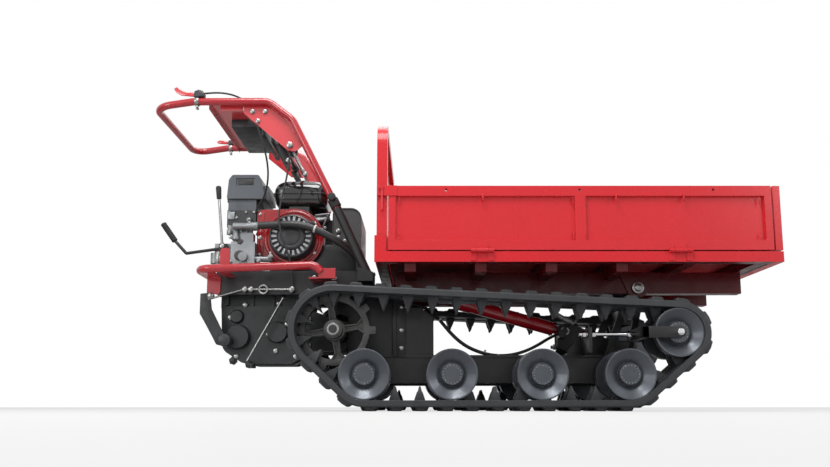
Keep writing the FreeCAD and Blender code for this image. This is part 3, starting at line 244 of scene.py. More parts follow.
def loft(work, rings, ends=True):
    """Faces between rings of points that each have the same count."""
    made = [[work.verts.new(p) for p in ring] for ring in rings]
    for first, second in zip(made, made[1:]):
        for k in range(len(first)):
            work.faces.new((first[k], first[k - 1], second[k - 1], second[k]))
    if ends:
        work.faces.new(made[0])
        work.faces.new(list(reversed(made[-1])))
    return made


def slab(work, outline, y0, y1):
    """A plate with an outline in X and Z, in mm, from y0 to y1."""
    loft(work, [[(x / 1000, y / 1000, z / 1000) for x, z in outline] for y in (y0, y1)])


def block(work, x0, x1, y0, y1, z0, z1):
    slab(work, [(x0, z0), (x1, z0), (x1, z1), (x0, z1)], y0, y1)


def turned(work, start, way, profile, sides=32):
    """A lathe-turned shape: (distance along the way, radius) pairs in mm, closed at both ends."""
    axis = Vector(way).normalized()
    aside = axis.orthogonal().normalized()
    other = axis.cross(aside)
    rings = []
    for along, radius in profile:
        centre = Vector(start) + axis * along
        rings.append([(centre + (aside * math.cos(a) + other * math.sin(a)) * radius) / 1000
                      for a in (2 * math.pi * k / sides for k in range(sides))])
    loft(work, rings)


def made_of(name, build, finish, body="chassis", edge=0.0008, crisp=32.0):
    """A finished piece from a function that fills a bmesh: small rounded edges, material, body."""
    rough = new_object(name, mesh_of(name, build))
    rough.data.materials.append(finish)
    if edge:
        rounding = rough.modifiers.new("rounding", "BEVEL")
        rounding.width = edge
        rounding.segments = 2
        rounding.limit_method = "ANGLE"
        rounding.angle_limit = math.radians(38)
    bpy.context.view_layer.update()
    mesh = bpy.data.meshes.new_from_object(rough.evaluated_get(bpy.context.evaluated_depsgraph_get()))
    bpy.data.objects.remove(rough)
    smooth_to(mesh, crisp)
    made = new_object(name, mesh)
    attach(made, body)
    return made


def chassis_plates(work):
    for side in (-1, 1):
        # side plate between the gearbox and the rear tower, and the angle welded to the tower
        slab(work, [(-404, 120), (-232, 120), (-232, 434), (-470, 434), (-470, 372), (-404, 350)],
             side * 190, side * 195.5)
        block(work, -237, -222, side * 196, side * 203, 200, 432)
        block(work, -222, -190, side * 196, side * 199, 200, 432)
        # lips of the beams
        block(work, -346, 666, side * 194, side * 197, 196, 207)


made_of("chassis_side_plates", chassis_plates, black_coat)


def engine_rails(work):
    # rails and a bracket plate under and ahead of the engine, bolted to the deck
    slab(work, [(-560, 526), (-366, 526), (-366, 600), (-470, 640), (-540, 640), (-560, 610)], -132, -127)
    for y in (-92, 100):
        block(work, -760, -500, y, y + 30, 526, 540)


made_of("engine_rails", engine_rails, black_coat)


# Rubber tracks: an endless moulded band with steel cores inside. Each of the 37 links has a window
# for a sprocket tooth, a bevelled ground lug in two staggered halves and two guide horns between
# which the rollers run.
TRACK_Y = 0.290
PITCH = 0.089
LINKS = 37
BAND = 0.020
TRACK_HALF = 0.090
LUG = 0.018
HORN = 0.050
LUG_SHIFT = 0.007
WINDOW_HALF = (0.023, 0.019)
PITCH_R = PITCH * 10 / (2 * math.pi)
WHEELS = [  # x, z and radius of the pitch line: sprocket, first and last roller, idler
    (-0.444, 0.289, PITCH_R),
    (-0.331, 0.128, 0.100),
    (0.599, 0.128, 0.100),
    (0.7751, 0.275, 0.097),
]


def loop_points(step=math.radians(3)):
    """The pitch line as points, arcs and straight runs alike, and its start on the sprocket."""
    turns = []
    for i, (x, z, r) in enumerate(WHEELS):
        x2, z2, r2 = WHEELS[(i + 1) % len(WHEELS)]
        heading = math.atan2(z2 - z, x2 - x)
        turns.append(heading - math.acos((r - r2) / math.hypot(x2 - x, z2 - z)))
    points = []
    for i, (x, z, r) in enumerate(WHEELS):
        sweep = (turns[i] - turns[i - 1]) % (2 * math.pi)
        count = max(2, round(sweep / step))
        for k in range(count + 1):
            angle = turns[i - 1] + sweep * k / count
            points.append((x + r * math.cos(angle), 0.0, z + r * math.sin(angle)))
    return points, PITCH_R * ((math.pi - turns[-1]) % (2 * math.pi))


def link_of_track(work):
    """One link, laid straight: X along the loop, Y across, Z out from the pitch line."""
    outer, inner = BAND / 2, -BAND / 2
    wx, wy = WINDOW_HALF
    xs = [-PITCH / 2, -0.034, -wx, -0.008, 0.008, wx, 0.034, PITCH / 2]
    ys = [-TRACK_HALF, -0.086, -0.070, -0.066, -wy, wy, 0.066, 0.070, 0.086, TRACK_HALF]
    # both edges are thicker, rounded ribbons, so the lugs between them look set in
    rise = {-TRACK_HALF: -0.001, TRACK_HALF: -0.001, -0.086: 0.004, 0.086: 0.004, -0.070: 0.004, 0.070: 0.004}
    verts = {}

    def vert(x, y, top):
        key = (x, y, top)
        if key not in verts:
            edge = rise.get(y, 0.0)
            verts[key] = work.verts.new((x, y, outer + edge if top else inner - min(edge, 0.0)))
        return verts[key]

    def hole(i, j):
        return -wx <= xs[i] and xs[i + 1] <= wx and -wy <= ys[j] and ys[j + 1] <= wy

    for i in range(len(xs) - 1):
        for j in range(len(ys) - 1):
            if hole(i, j):
                continue
            corners = [(xs[i], ys[j]), (xs[i + 1], ys[j]), (xs[i + 1], ys[j + 1]), (xs[i], ys[j + 1])]
            work.faces.new([vert(x, y, True) for x, y in corners])
            work.faces.new([vert(x, y, False) for x, y in reversed(corners)])
            for a, b, di, dj in ((0, 1, 0, -1), (1, 2, 1, 0), (2, 3, 0, 1), (3, 0, -1, 0)):
                ni, nj = i + di, j + dj
                if not 0 <= ni < len(xs) - 1:
                    continue
                if not 0 <= nj < len(ys) - 1 or hole(ni, nj):
                    (x0, y0), (x1, y1) = corners[a], corners[b]
                    work.faces.new((vert(x0, y0, True), vert(x0, y0, False), vert(x1, y1, False),
                                    vert(x1, y1, True)))
    for side, shift in ((-1, LUG_SHIFT), (1, -LUG_SHIFT)):
        lug_half(work, side, shift, outer)
        horn_x = PITCH / 2
        root, tip = horn_x - wx - 0.001, 0.005
        y0, y1 = side * (wy + 0.0005), side * (wy + 0.020)
        rings = []
        for depth, half, inset in ((-0.004, root, 0.0), (0.005, root * 0.90, 0.0), (0.028, root * 0.52, 0.001),
                                   (0.032, root * 0.36, 0.003), (HORN - 0.005, tip * 0.8, 0.005),
                                   (HORN, tip * 0.4, 0.007)):
            a, b = y0 + side * inset, y1 - side * inset
            z = inner - depth
            rings.append([(-horn_x - half, a, z), (-horn_x, a, z), (-horn_x + half, a, z),
                          (-horn_x + half, b, z), (-horn_x, b, z), (-horn_x - half, b, z)])
        loft(work, rings)



def lug_half(work, side, shift, outer):
    """Half of a ground lug, with chamfered flanks and rounded shoulders."""
    near, far = side * 0.002, side * 0.074
    rings = []
    for share, inset in ((0.0, 0.0), (0.03, 0.0), (0.5, 0.0), (0.92, 0.0), (1.0, 0.006)):
        y = near + (far - near) * share
        root, tip, low = 0.028 - inset * 0.3, 0.018 - inset, -0.003
        top = LUG - inset * 0.6
        centre = PITCH / 2 + shift * (1 if share > 0.02 else 0.6)
        rings.append([(centre - PITCH + dx, y, outer + dz) for dx, dz in (
            (-root, low), (-root, 0.0), (-tip - 0.002, top - 0.003), (-tip + 0.001, top - 0.0005), (0.0, top),
            (tip - 0.001, top - 0.0005), (tip + 0.002, top - 0.003), (root, 0.0), (root, low))])
    loft(work, rings)


def node_group(name, inputs):
    """An empty geometry tree with named inputs; returns the tree, its input and output nodes."""
    tree = bpy.data.node_groups.new(name, "GeometryNodeTree")
    tree.interface.new_socket("Geometry", in_out="INPUT", socket_type="NodeSocketGeometry")
    for label, kind in inputs:
        tree.interface.new_socket(label, in_out="INPUT", socket_type="NodeSocket" + kind)
    tree.interface.new_socket("Geometry", in_out="OUTPUT", socket_type="NodeSocketGeometry")
    return tree, tree.nodes.new("NodeGroupInput"), tree.nodes.new("NodeGroupOutput")


def grown(name, start, tree, values):
    """A plain mesh object from a geometry tree run on an object, which is then removed."""
    modifier = start.modifiers.new("grow", "NODES")
    modifier.node_group = tree
    keys = {item.name: item.identifier for item in tree.interface.items_tree
            if item.item_type == "SOCKET" and item.in_out == "INPUT"}
    for label, value in values.items():
        modifier[keys[label]] = value
    start.update_tag()
    bpy.context.view_layer.update()
    mesh = bpy.data.meshes.new_from_object(start.evaluated_get(bpy.context.evaluated_depsgraph_get()))
    mesh.name = name
    start.modifiers.remove(modifier)
    bpy.data.objects.remove(start)
    return new_object(name, mesh)


chain_tree, chain_in, chain_out = node_group("links_round_loop", [
    ("Loop", "Object"), ("Links", "Int"), ("Pitch", "Float"), ("Start", "Float"), ("Rubber", "Material")])
given = chain_in.outputs
row_step = add(chain_tree, "ShaderNodeCombineXYZ", {"X": given["Pitch"]})
row = add(chain_tree, "GeometryNodeMeshLine", {"Count": given["Links"], "Offset": row_step.outputs["Vector"]})
laid_out = add(chain_tree, "GeometryNodeInstanceOnPoints", {
    "Points": row.outputs["Mesh"], "Instance": given["Geometry"]})
real = add(chain_tree, "GeometryNodeRealizeInstances", {"Geometry": laid_out.outputs["Instances"]})
place = add(chain_tree, "GeometryNodeInputPosition")
split = add(chain_tree, "ShaderNodeSeparateXYZ", {"Vector": place.outputs["Position"]}).outputs
along = add(chain_tree, "ShaderNodeMath", {0: split["X"], 1: given["Start"]}, operation="ADD")
whole = add(chain_tree, "ShaderNodeMath", {0: given["Links"], 1: given["Pitch"]}, operation="MULTIPLY")
share = add(chain_tree, "ShaderNodeMath", {0: along.outputs[0], 1: whole.outputs[0]}, operation="DIVIDE")
wrapped = add(chain_tree, "ShaderNodeMath", {0: share.outputs[0]}, operation="FRACT")
path = add(chain_tree, "GeometryNodeObjectInfo", {"Object": given["Loop"]})
sample = add(chain_tree, "GeometryNodeSampleCurve", {
    "Curves": path.outputs["Geometry"], "Factor": wrapped.outputs[0]}, mode="FACTOR")
outward = add(chain_tree, "ShaderNodeVectorMath", {
    0: (0, 1, 0), 1: sample.outputs["Tangent"]}, operation="CROSS_PRODUCT")
lifted = add(chain_tree, "ShaderNodeVectorMath", {
    0: outward.outputs["Vector"], "Scale": split["Z"]}, operation="SCALE")
across_by = add(chain_tree, "ShaderNodeCombineXYZ", {"Y": split["Y"]})
first_sum = add(chain_tree, "ShaderNodeVectorMath", {
    0: sample.outputs["Position"], 1: lifted.outputs["Vector"]}, operation="ADD")
second_sum = add(chain_tree, "ShaderNodeVectorMath", {
    0: first_sum.outputs["Vector"], 1: across_by.outputs["Vector"]}, operation="ADD")
bent = add(chain_tree, "GeometryNodeSetPosition", {
    "Geometry": real.outputs["Geometry"], "Position": second_sum.outputs["Vector"]})
joined_up = add(chain_tree, "GeometryNodeMergeByDistance", {
    "Geometry": bent.outputs["Geometry"], "Distance": 0.0002})
rubbered = add(chain_tree, "GeometryNodeSetMaterial", {
    "Geometry": joined_up.outputs["Geometry"], "Material": given["Rubber"]})
chain_tree.links.new(rubbered.outputs["Geometry"], chain_out.inputs["Geometry"])

track_rubber = surfaced("track_rubber", (0.028, 0.030, 0.034), 0.52, mottle=0.22, mottle_scale=14.0,
                        grain_scale=520.0, grain=0.35, edge_wear_and_highlight=(0.13, 0.13, 0.13), edge_wear_and_highlight_by=0.75,
                        soft_edge=0.0022, dust=0.12, shine=0.45)
loop_spots, first_window = loop_points()
for side_name, track_side in (("right", -1), ("left", 1)):
    loop_data = bpy.data.curves.new("loop_line", "CURVE")
    loop_data.dimensions = "3D"
    spline = loop_data.splines.new("POLY")
    spline.points.add(len(loop_spots) - 1)
    for spot, (x, y, z) in zip(spline.points, loop_spots):
        spot.co = (x, y, z, 1)
    spline.use_cyclic_u = True
    loop_object = new_object("loop_line", loop_data)
    straight_link = new_object("straight_link", mesh_of("straight_link", link_of_track))
    track = grown("track_rubber_" + side_name, straight_link, chain_tree, {
        "Loop": loop_object, "Links": LINKS, "Pitch": PITCH, "Start": first_window,
        "Rubber": track_rubber})
    bpy.data.objects.remove(loop_object)
    if track_side > 0:
        track.data.transform(Matrix.Scale(-1, 4, (0, 1, 0)))
        track.data.flip_normals()
    track.data.transform(Matrix.Translation((0, track_side * TRACK_Y, 0)))
    smooth_to(track.data, 38.0)
    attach(track, "chassis")
    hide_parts("track_" + side_name)


# Running gear: double-disc bottom rollers, the front idler and the ten-tooth drive sprocket, cast
# in iron, with turned rims and a zinc-plated cap and screws at each hub. They turn on fixed axles.
cast_iron = surfaced("cast_iron", (0.042, 0.041, 0.040), 0.50, metallic=0.1, mottle=0.25, mottle_scale=22.0,
                     grain_scale=420.0, grain=0.60, edge_wear_and_highlight=(0.22, 0.22, 0.22), edge_wear_and_highlight_by=0.7, soft_edge=0.0016,
                     dust=0.08)
roller_coat = surfaced("roller_coat", (0.075, 0.083, 0.096), 0.36, metallic=0.6, coat=0.1, mottle=0.12,
                       mottle_scale=12.0, grain_scale=300.0, grain=0.12, edge_wear_and_highlight=(0.30, 0.31, 0.33), edge_wear_and_highlight_by=0.8,
                       soft_edge=0.0020, dust=0.05)
dress(roller_coat, "rollers_right", "rollers_left", "idler_right", "idler_left")
zinc = surfaced("zinc_plate", (0.30, 0.30, 0.295), 0.30, metallic=1.0, mottle=0.18, mottle_scale=60.0,
                grain_scale=900.0, grain=0.16, soft_edge=0.0005)

SPROCKET = (-444.0, 289.0)
TOOTH_OUTLINE = [(-18, 128), (-12, 128), (-7, 128), (-6.2, 132), (-5.4, 147), (-4.4, 150), (0, 150), (4.4, 150),
                 (5.4, 147), (6.2, 132), (7, 128), (12, 128)]  # degrees from the tooth's middle, radius in mm
RING_IN = 106.0


def spun(outline, degrees, centre=SPROCKET):
    """An outline turned about the sprocket's centre."""
    c, s = math.cos(math.radians(degrees)), math.sin(math.radians(degrees))
    return [(centre[0] + x * c - z * s, centre[1] + x * s + z * c) for x, z in outline]


def sprocket_cast(work, side):
    outer, inner = [], []
    for tooth in range(10):
        for offset, radius in TOOTH_OUTLINE:
            a = math.pi + math.radians(36 * tooth + offset)
            outer.append((radius * math.cos(a), radius * math.sin(a)))
            inner.append((RING_IN * math.cos(a), RING_IN * math.sin(a)))
    rings = []
    for outline, y in ((outer, 276), (outer, 304), (inner, 304), (inner, 276), (outer, 276)):
        rings.append([((SPROCKET[0] + x) / 1000, side * y / 1000, (SPROCKET[1] + z) / 1000) for x,
                      z in outline])
    loft(work, rings, ends=False)
    bmesh.ops.remove_doubles(work, verts=work.verts, dist=1e-6)
    for spoke in range(4):
        turn = 9 + 90 * spoke
        web = [(24, -13), (84, -10.5), (100, -24), (108, -32), (108, 32), (100, 24), (84, 10.5), (24, 13)]
        slab(work, spun(web, turn), side * 283, side * 297)
        for flip in (-1, 1):
            rib = [(24, flip * 8), (84, flip * 5.5), (101, flip * 18), (108, flip * 25), (108, flip * 33),
                   (99, flip * 25), (84, flip * 11), (24, flip * 14)]
            slab(work, spun(rib, turn), side * 276, side * 304)
    turned(work, (SPROCKET[0], side * 230, SPROCKET[1]), (0, side, 0),
           [(0, 34), (44, 34), (46, 40), (76, 40), (78, 38), (78, 33), (112, 33), (114, 31), (114, 28),
            (117, 27)])


def sprocket_cap(work, side):
    turned(work, (SPROCKET[0], side * 345, SPROCKET[1]), (0, side, 0),
           [(0, 22), (2.5, 22), (3.5, 21), (3.5, 15), (2.8, 14), (2.8, 11), (4, 10), (4.6, 9), (4.6, 2)])


for side_name, track_side in (("right", -1), ("left", 1)):
    cast = made_of("sprocket_casting_" + side_name, lambda work: sprocket_cast(work, track_side), cast_iron,
                   edge=0.0018)
    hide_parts("sprocket_" + side_name)
    made_of("sprocket_cap_" + side_name, lambda work: sprocket_cap(work, track_side), zinc,
            edge=0.0004)

scatter_tree, scatter_in, scatter_out = node_group("fixings_on_points", [
    ("Fixing", "Object"), ("Seed", "Int"), ("Turned", "Float"), ("Finish", "Material")])
given = scatter_in.outputs
spots_only = add(scatter_tree, "GeometryNodeMeshToPoints", {"Mesh": given["Geometry"]})
way = add(scatter_tree, "GeometryNodeInputNamedAttribute", {"Name": "way"}, data_type="FLOAT_VECTOR")
scale = add(scatter_tree, "GeometryNodeInputNamedAttribute", {"Name": "size"}, data_type="FLOAT")
faced = add(scatter_tree, "FunctionNodeAlignRotationToVector", {"Vector": way.outputs["Attribute"]}, axis="Z")
chance = add(scatter_tree, "FunctionNodeRandomValue", {
    "Min": 0.0, 3: given["Turned"], "Seed": given["Seed"]}, data_type="FLOAT")
about = add(scatter_tree, "FunctionNodeAxisAngleToRotation", {"Axis": (0, 0, 1), "Angle": chance.outputs[1]})
spun_round = add(scatter_tree, "FunctionNodeRotateRotation", {
    "Rotation": faced.outputs["Rotation"], "Rotate By": about.outputs["Rotation"]}, rotation_space="LOCAL")
fixing = add(scatter_tree, "GeometryNodeObjectInfo", {"Object": given["Fixing"]})
driven = add(scatter_tree, "GeometryNodeInstanceOnPoints", {
    "Points": spots_only.outputs["Points"], "Instance": fixing.outputs["Geometry"],
    "Rotation": spun_round.outputs["Rotation"], "Scale": scale.outputs["Attribute"]})
set_real = add(scatter_tree, "GeometryNodeRealizeInstances", {"Geometry": driven.outputs["Instances"]})
plated = add(scatter_tree, "GeometryNodeSetMaterial", {
    "Geometry": set_real.outputs["Geometry"], "Material": given["Finish"]})
scatter_tree.links.new(plated.outputs["Geometry"], scatter_out.inputs["Geometry"])


def circle(radius, z, sides, turn=0.0):
    return [(radius * math.cos(turn + 2 * math.pi * k / sides),
             radius * math.sin(turn + 2 * math.pi * k / sides), z)
            for k in range(sides)]


def hex_bolt(work):
    """An M10 bolt head on its washer, standing on the point and facing +Z. It is 10 mm high."""
    loft(work, [circle(0.0100, -0.001, 20), circle(0.0100, 0.0018, 20), circle(0.0096, 0.0022, 20)])
    across = 0.0085 / math.cos(math.pi / 6)
    loft(work, [circle(across, 0.0021, 6), circle(across, 0.0078, 6), circle(0.0074, 0.0088, 6)])


def nut_and_stud(work):
    """An M10 nut on its washer, with the end of the bolt standing out of it."""
    loft(work, [circle(0.0105, -0.001, 20), circle(0.0105, 0.0018, 20), circle(0.0101, 0.0022, 20)])
    across = 0.0085 / math.cos(math.pi / 6)
    loft(work, [circle(0.0078, 0.0021, 6), circle(across, 0.0030, 6), circle(across, 0.0092, 6),
                circle(0.0078, 0.0101, 6)])
    loft(work, [circle(0.0050, 0.009, 12), circle(0.0050, 0.0135, 12), circle(0.0042, 0.0145, 12)])


def pan_screw(work):
    """A small round-headed screw with a six-sided socket, 4 mm high."""
    loft(work, [circle(0.0055, -0.0005, 16), circle(0.0055, 0.0022, 16), circle(0.0047, 0.0036, 16),
                circle(0.0030, 0.0040, 16), circle(0.0026, 0.0020, 16)])


def fixings(name, shape, spots, finish, body="chassis", seed=1):
    """Fixings of one kind. A spot is (x, y, z), the way it faces, and its size against the plain one."""
    mesh = bpy.data.meshes.new(name)
    mesh.from_pydata([s[0] for s in spots], [], [])
    mesh.attributes.new("way", "FLOAT_VECTOR", "POINT")
    mesh.attributes.new("size", "FLOAT", "POINT")
    for k, (_, facing, size) in enumerate(spots):
        mesh.attributes["way"].data[k].vector = facing
        mesh.attributes["size"].data[k].value = size
    template = new_object("fixing_template", mesh_of("fixing_template", shape))
    made = grown(name, new_object(name + "_spots", mesh), scatter_tree, {
        "Fixing": template, "Seed": seed, "Turned": 1.0, "Finish": finish})
    bpy.data.objects.remove(template)
    smooth_to(made.data, 40.0)
    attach(made, body)
    return made


def beside(y, spots, sides=(-1,)):
    """Spots on upright faces y metres out from the middle: x and z in mm, and the fixing's size."""
    return [((x / 1000, side * y, z / 1000), (0, side, 0), size) for side in sides for x, z, size in spots]


BOTH = (-1, 1)
HUBS = [(-331.0, 128.0), (-23.0, 128.0), (293.0, 128.0), (599.0, 128.0), (775.1, 275.0)]
HUB_FACE = 366.0
RING_MARKS = 18
MARK_RADIUS = 31.0
MARK_FACE = 0.3664


def hub_rings(work):
    for flip in BOTH:
        for x, z in HUBS:
            turned(work, (x, flip * (HUB_FACE - 1), z), (0, flip, 0),
                   [(0, 35.6), (1.6, 35.6), (2.2, 34.8), (2.2, 34.2), (0.4, 33.6), (0.4, 20)], sides=40)


made_of("hub_end_caps", hub_rings, roller_coat, edge=0.0)
mark_spots = []
for flip in BOTH:
    for x, z in HUBS:
        for k in range(RING_MARKS):
            a = 2 * math.pi * k / RING_MARKS + x
            mark_spots.append((((x + MARK_RADIUS * math.cos(a)) / 1000, flip * MARK_FACE,
                                (z + MARK_RADIUS * math.sin(a)) / 1000), (0, flip, 0), 0.36))
fixings("hub_ring_marks", pan_screw, mark_spots, zinc)
fixings("rear_tower_bolts", hex_bolt, beside(0.199, [(-204, z, 0.75) for z in (428, 388, 300, 233)], BOTH),
        zinc)


# Track tensioners: a fork on the idler's axle, a chromed push rod and its lock nuts, and the
# threaded bracket on the beam. Only the rod and the nuts are bright.
chrome = surfaced("chromed_rod", (0.62, 0.63, 0.64), 0.12, metallic=1.0, mottle=0.05, rough_swing=0.05,
                  grain_scale=2200.0, grain=0.03, soft_edge=0.0004)


def tensioner_frame(work, side):
    # fork with its two arms, the crosshead, and the bracket with its gusset on the beam
    for y0, y1 in ((374, 388), (192, 204)):
        slab(work, [(640, 255), (775, 255), (789, 261), (795, 275), (789, 289), (775, 295), (640, 295)],
             side * y0, side * y1)
    block(work, 640, 664, side * 192, side * 388, 255, 295)
    block(work, 470, 482, side * 150, side * 312, 207, 299)
    slab(work, [(410, 207), (470, 207), (470, 292)], side * 172, side * 182)
    block(work, 414, 470, side * 150, side * 194, 203, 212)


def tensioner_bright(work, side):
    turned(work, (440, side * 290, 275), (1, 0, 0), [(0, 7), (1, 8), (205, 8)], 20)
    for x, half in ((450, 13.5), (484, 13.5), (612, 13)):
        turned(work, (x, side * 290, 275), (1, 0, 0),
               [(0, half * 0.8), (2, half), (14, half), (16, half * 0.8)], 6)
    turned(work, (775.1, side * 387, 275), (0, side, 0), [(0, 12), (3, 12), (4, 11)], 24)


for side_name, track_side in (("right", -1), ("left", 1)):
    framed = made_of("tensioner_frame_" + side_name, lambda work: tensioner_frame(work, track_side), black_coat,
                     edge=0.0015)
    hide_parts("tensioner_" + side_name)
    made_of("tensioner_rod_" + side_name, lambda work: tensioner_bright(work, track_side), chrome,
            edge=0.0004)


# Gearbox and axle: one iron casting with ribs, painted near black, closed by bolted covers. In front
# of it hang the cast arm of the gear change and its zinc-plated rods.
cast_paint = surfaced("gearbox_paint", (0.024, 0.026, 0.028), 0.42, shine=0.4, metallic=0.0, mottle=0.18,
                      mottle_scale=13.0,
                      grain_scale=330.0, grain=0.60, edge_wear_and_highlight=(0.20, 0.205, 0.21), edge_wear_and_highlight_by=0.7, soft_edge=0.0020,
                      dust=0.16)
dress(cast_paint, "gearbox", "gearbox_covers")
GEAR_FACE = 0.1305
GEAR_SPOTS = [(-852, 498, 1.0), (-833, 482, 0.8), (-865, 355, 0.9), (-808, 405, 0.9), (-720, 492, 0.9),
              (-679, 410, 0.8), (-645, 330, 0.9), (-682, 305, 0.8), (-716, 290, 0.8), (-686, 227, 0.9),
              (-836, 206, 0.9), (-872, 262, 0.8), (-600, 482, 0.9), (-560, 350, 0.9), (-560, 250, 0.9),
              (-610, 205, 0.9)]
fixings("gearbox_bolts", hex_bolt, beside(GEAR_FACE, GEAR_SPOTS, BOTH), zinc, seed=3)


def gearbox_plates(work):
    for side in (-1, 1):
        # parting flange of the two halves, the drain boss and the sight plug
        slab(work, [(-884, 446), (-520, 446), (-520, 458), (-884, 458)], side * 126, side * 137)
        turned(work, (-847, side * 128, 190), (0, side, 0),
               [(0, 17), (6, 17), (7, 16), (7, 10), (15, 9), (16, 8)], 6)
        turned(work, (-590, side * 128, 420), (0, side, 0),
               [(0, 24), (7, 24), (9, 22), (9, 15), (12, 14), (13, 12)])
        slab(work, [(-900, 392), (-872, 405), (-872, 470), (-900, 470)], side * 120, side * 134)


made_of("gearbox_flanges", gearbox_plates, cast_paint, edge=0.0015)
LINK_Y = -206.0


def shift_arm(work):
    # cast arm that hangs from the red tab and reaches the gear selector
    slab(work, [(-962, 438), (-926, 442), (-918, 380), (-880, 306), (-858, 268), (-872, 240), (-896, 246),
                (-912, 276), (-946, 336), (-962, 362)], LINK_Y + 4, LINK_Y + 14)
    turned(work, (-866, LINK_Y, 262), (0, 1, 0), [(0, 20), (2, 24), (60, 24)], 28)


arm = made_of("shift_arm", shift_arm, cast_paint, edge=0.002)
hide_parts("shift_linkage")


def linkage_rods(work):
    for start, end, radius in (
            ((-930, LINK_Y, 415), (-800, LINK_Y, 453), 3.5), ((-804, LINK_Y, 453), (-614, LINK_Y, 453), 3.5),
            ((-654, -180, 424), (-783, -180, 186), 4.5), ((-654, -180, 424), (-650, -150, 440), 5)):
        way = Vector(end) - Vector(start)
        turned(work, start, way, [(0, radius), (way.length, radius)], 14)
    turned(work, (-614, LINK_Y - 6, 453), (0, 1, 0), [(0, 6), (12, 6), (12.5, 5), (24, 5)], 16)
    loft(work, [[((-724 + r * math.cos(a)) / 1000, (LINK_Y + dy) / 1000, (453 + r * math.sin(a)) / 1000)
                 for a in (2 * math.pi * k / 36 for k in range(36))]
                for r, dy in ((12, -3), (14, -4.5), (17.5, -4.5), (19, -3), (19, 3), (17.5, 4.5), (14, 4.5),
                              (12, 3),
                              (12, -3))], ends=False)
    bmesh.ops.remove_doubles(work, verts=work.verts, dist=1e-6)


made_of("linkage_rods", linkage_rods, zinc, edge=0.0)


def linkage_ends(work):
    for x in (-793, -770):
        turned(work, (x, LINK_Y - 9, 453), (0, 1, 0),
               [(0, 6), (0.8, 9), (3, 10.5), (15, 10.5), (17.2, 9), (18, 6)], 20)
    for x, z in ((-920, 428), (-616, 452)):
        turned(work, (x, LINK_Y - 11, z), (0, 1, 0), [(0, 8), (0.8, 10), (3, 12), (19, 12), (21, 10), (22, 8)],
               20)
        turned(work, (x, LINK_Y - 15, z), (0, 1, 0), [(0, 6.6), (5, 7.4), (5.5, 7.4), (5.6, 6)], 6)


made_of("linkage_joints", linkage_ends, zinc, edge=0.0004)


# Guard rail and controls: bent steel tube in bright red gloss powder coat, which flows out into a
# faint orange peel. It carries the folded console, the throttle levers and the lever mechanism.
RED = (0.66, 0.022, 0.030)
red_gloss = surfaced("red_powder_coat", RED, 0.26, coat=0.12, shine=0.32, mottle=0.035, mottle_scale=5.0,
                     rough_swing=0.05,
                     grain_scale=210.0, grain=0.10, edge_wear_and_highlight=(0.80, 0.20, 0.20), edge_wear_and_highlight_by=0.30, soft_edge=0.0016,
                     dust=0.03)
# The tubes get a darker copy of the red coat: painted shade for the dark undersides of round tube.
shaded_tube_red = surfaced("red_tube_painted_shade", (0.46, 0.010, 0.020), 0.20, coat=0.5, mottle=0.04, mottle_scale=5.0,
                    rough_swing=0.04, grain_scale=260.0, grain=0.05, soft_edge=0.001, shine=0.5)
# The console sheet gets a lighter copy of the red coat: a painted sheen for its glossy shine.
sheen_lit_cheek_red = surfaced("console_sheet_painted_sheen", (0.66, 0.050, 0.060), 0.18, coat=0.8, mottle=0.05, mottle_scale=4.0,
                     rough_swing=0.06, grain_scale=180.0, grain=0.06, edge_wear_and_highlight=(0.9, 0.4, 0.4), edge_wear_and_highlight_by=0.4)
dress(shaded_tube_red, "guard_rail", "handlebar")
dress(sheen_lit_cheek_red, "console")
dress(black_coat, "handle_post_right", "handle_post_left")


def cheek_edges(work):
    # folded edge of each cheek, welded along the tube
    for y in (-240.7, 237.2):
        slab(work, [(-715, 1170), (-640, 1096), (-585, 1000), (-572, 1010), (-621, 1106), (-652, 1142),
                    (-700, 1172)],
             y, y + 3.5)


made_of("cheek_edges", cheek_edges, sheen_lit_cheek_red, edge=0.0006)
fixings("guard_bolts", hex_bolt, beside(0.2015, [(-534, 499, 0.85), (-512, 496, 0.85), (-457, 496, 0.85)],
                                        BOTH),
        zinc, seed=4)
CHEEK_SPOTS = [(-777, 1138, 0.9), (-729, 1138, 0.9), (-755, 1100, 0.9), (-631, 1004, 1.25)]
fixings("cheek_bolts", hex_bolt, beside(0.2409, CHEEK_SPOTS, BOTH), zinc, seed=5)
moulded = surfaced("moulded_plastic", (0.030, 0.031, 0.034), 0.42, mottle=0.08, grain_scale=950.0, grain=0.30,
                   edge_wear_and_highlight=(0.10, 0.10, 0.105), edge_wear_and_highlight_by=0.4, dust=0.06)
grip_rubber = surfaced("grip_rubber", (0.020, 0.020, 0.021), 0.55, mottle=0.1, grain_scale=900.0, grain=0.5,
                       soft_edge=0.001, dust=0.05, shine=0.35)


def console_works(work):
    # throttle and clutch mechanism between the cheeks: bracket box, cross shaft, lever arms
    block(work, -880, -760, -150, 150, 1112, 1160)
    block(work, -760, -744, -150, 150, 1078, 1160)
    turned(work, (-672, -232, 1036), (0, 1, 0), [(0, 9), (464, 9)], 20)
    for y in (-214, 120):
        slab(work, [(-690, 1020), (-660, 1020), (-632, 946), (-648, 940), (-684, 1004)], y, y + 7)
        turned(work, (-672, y - 6, 1036), (0, 1, 0), [(0, 17), (19, 17)], 24)
    block(work, -716, -702, -180, 180, 1040, 1086)


made_of("console_mechanism", console_works, black_coat, edge=0.0012)


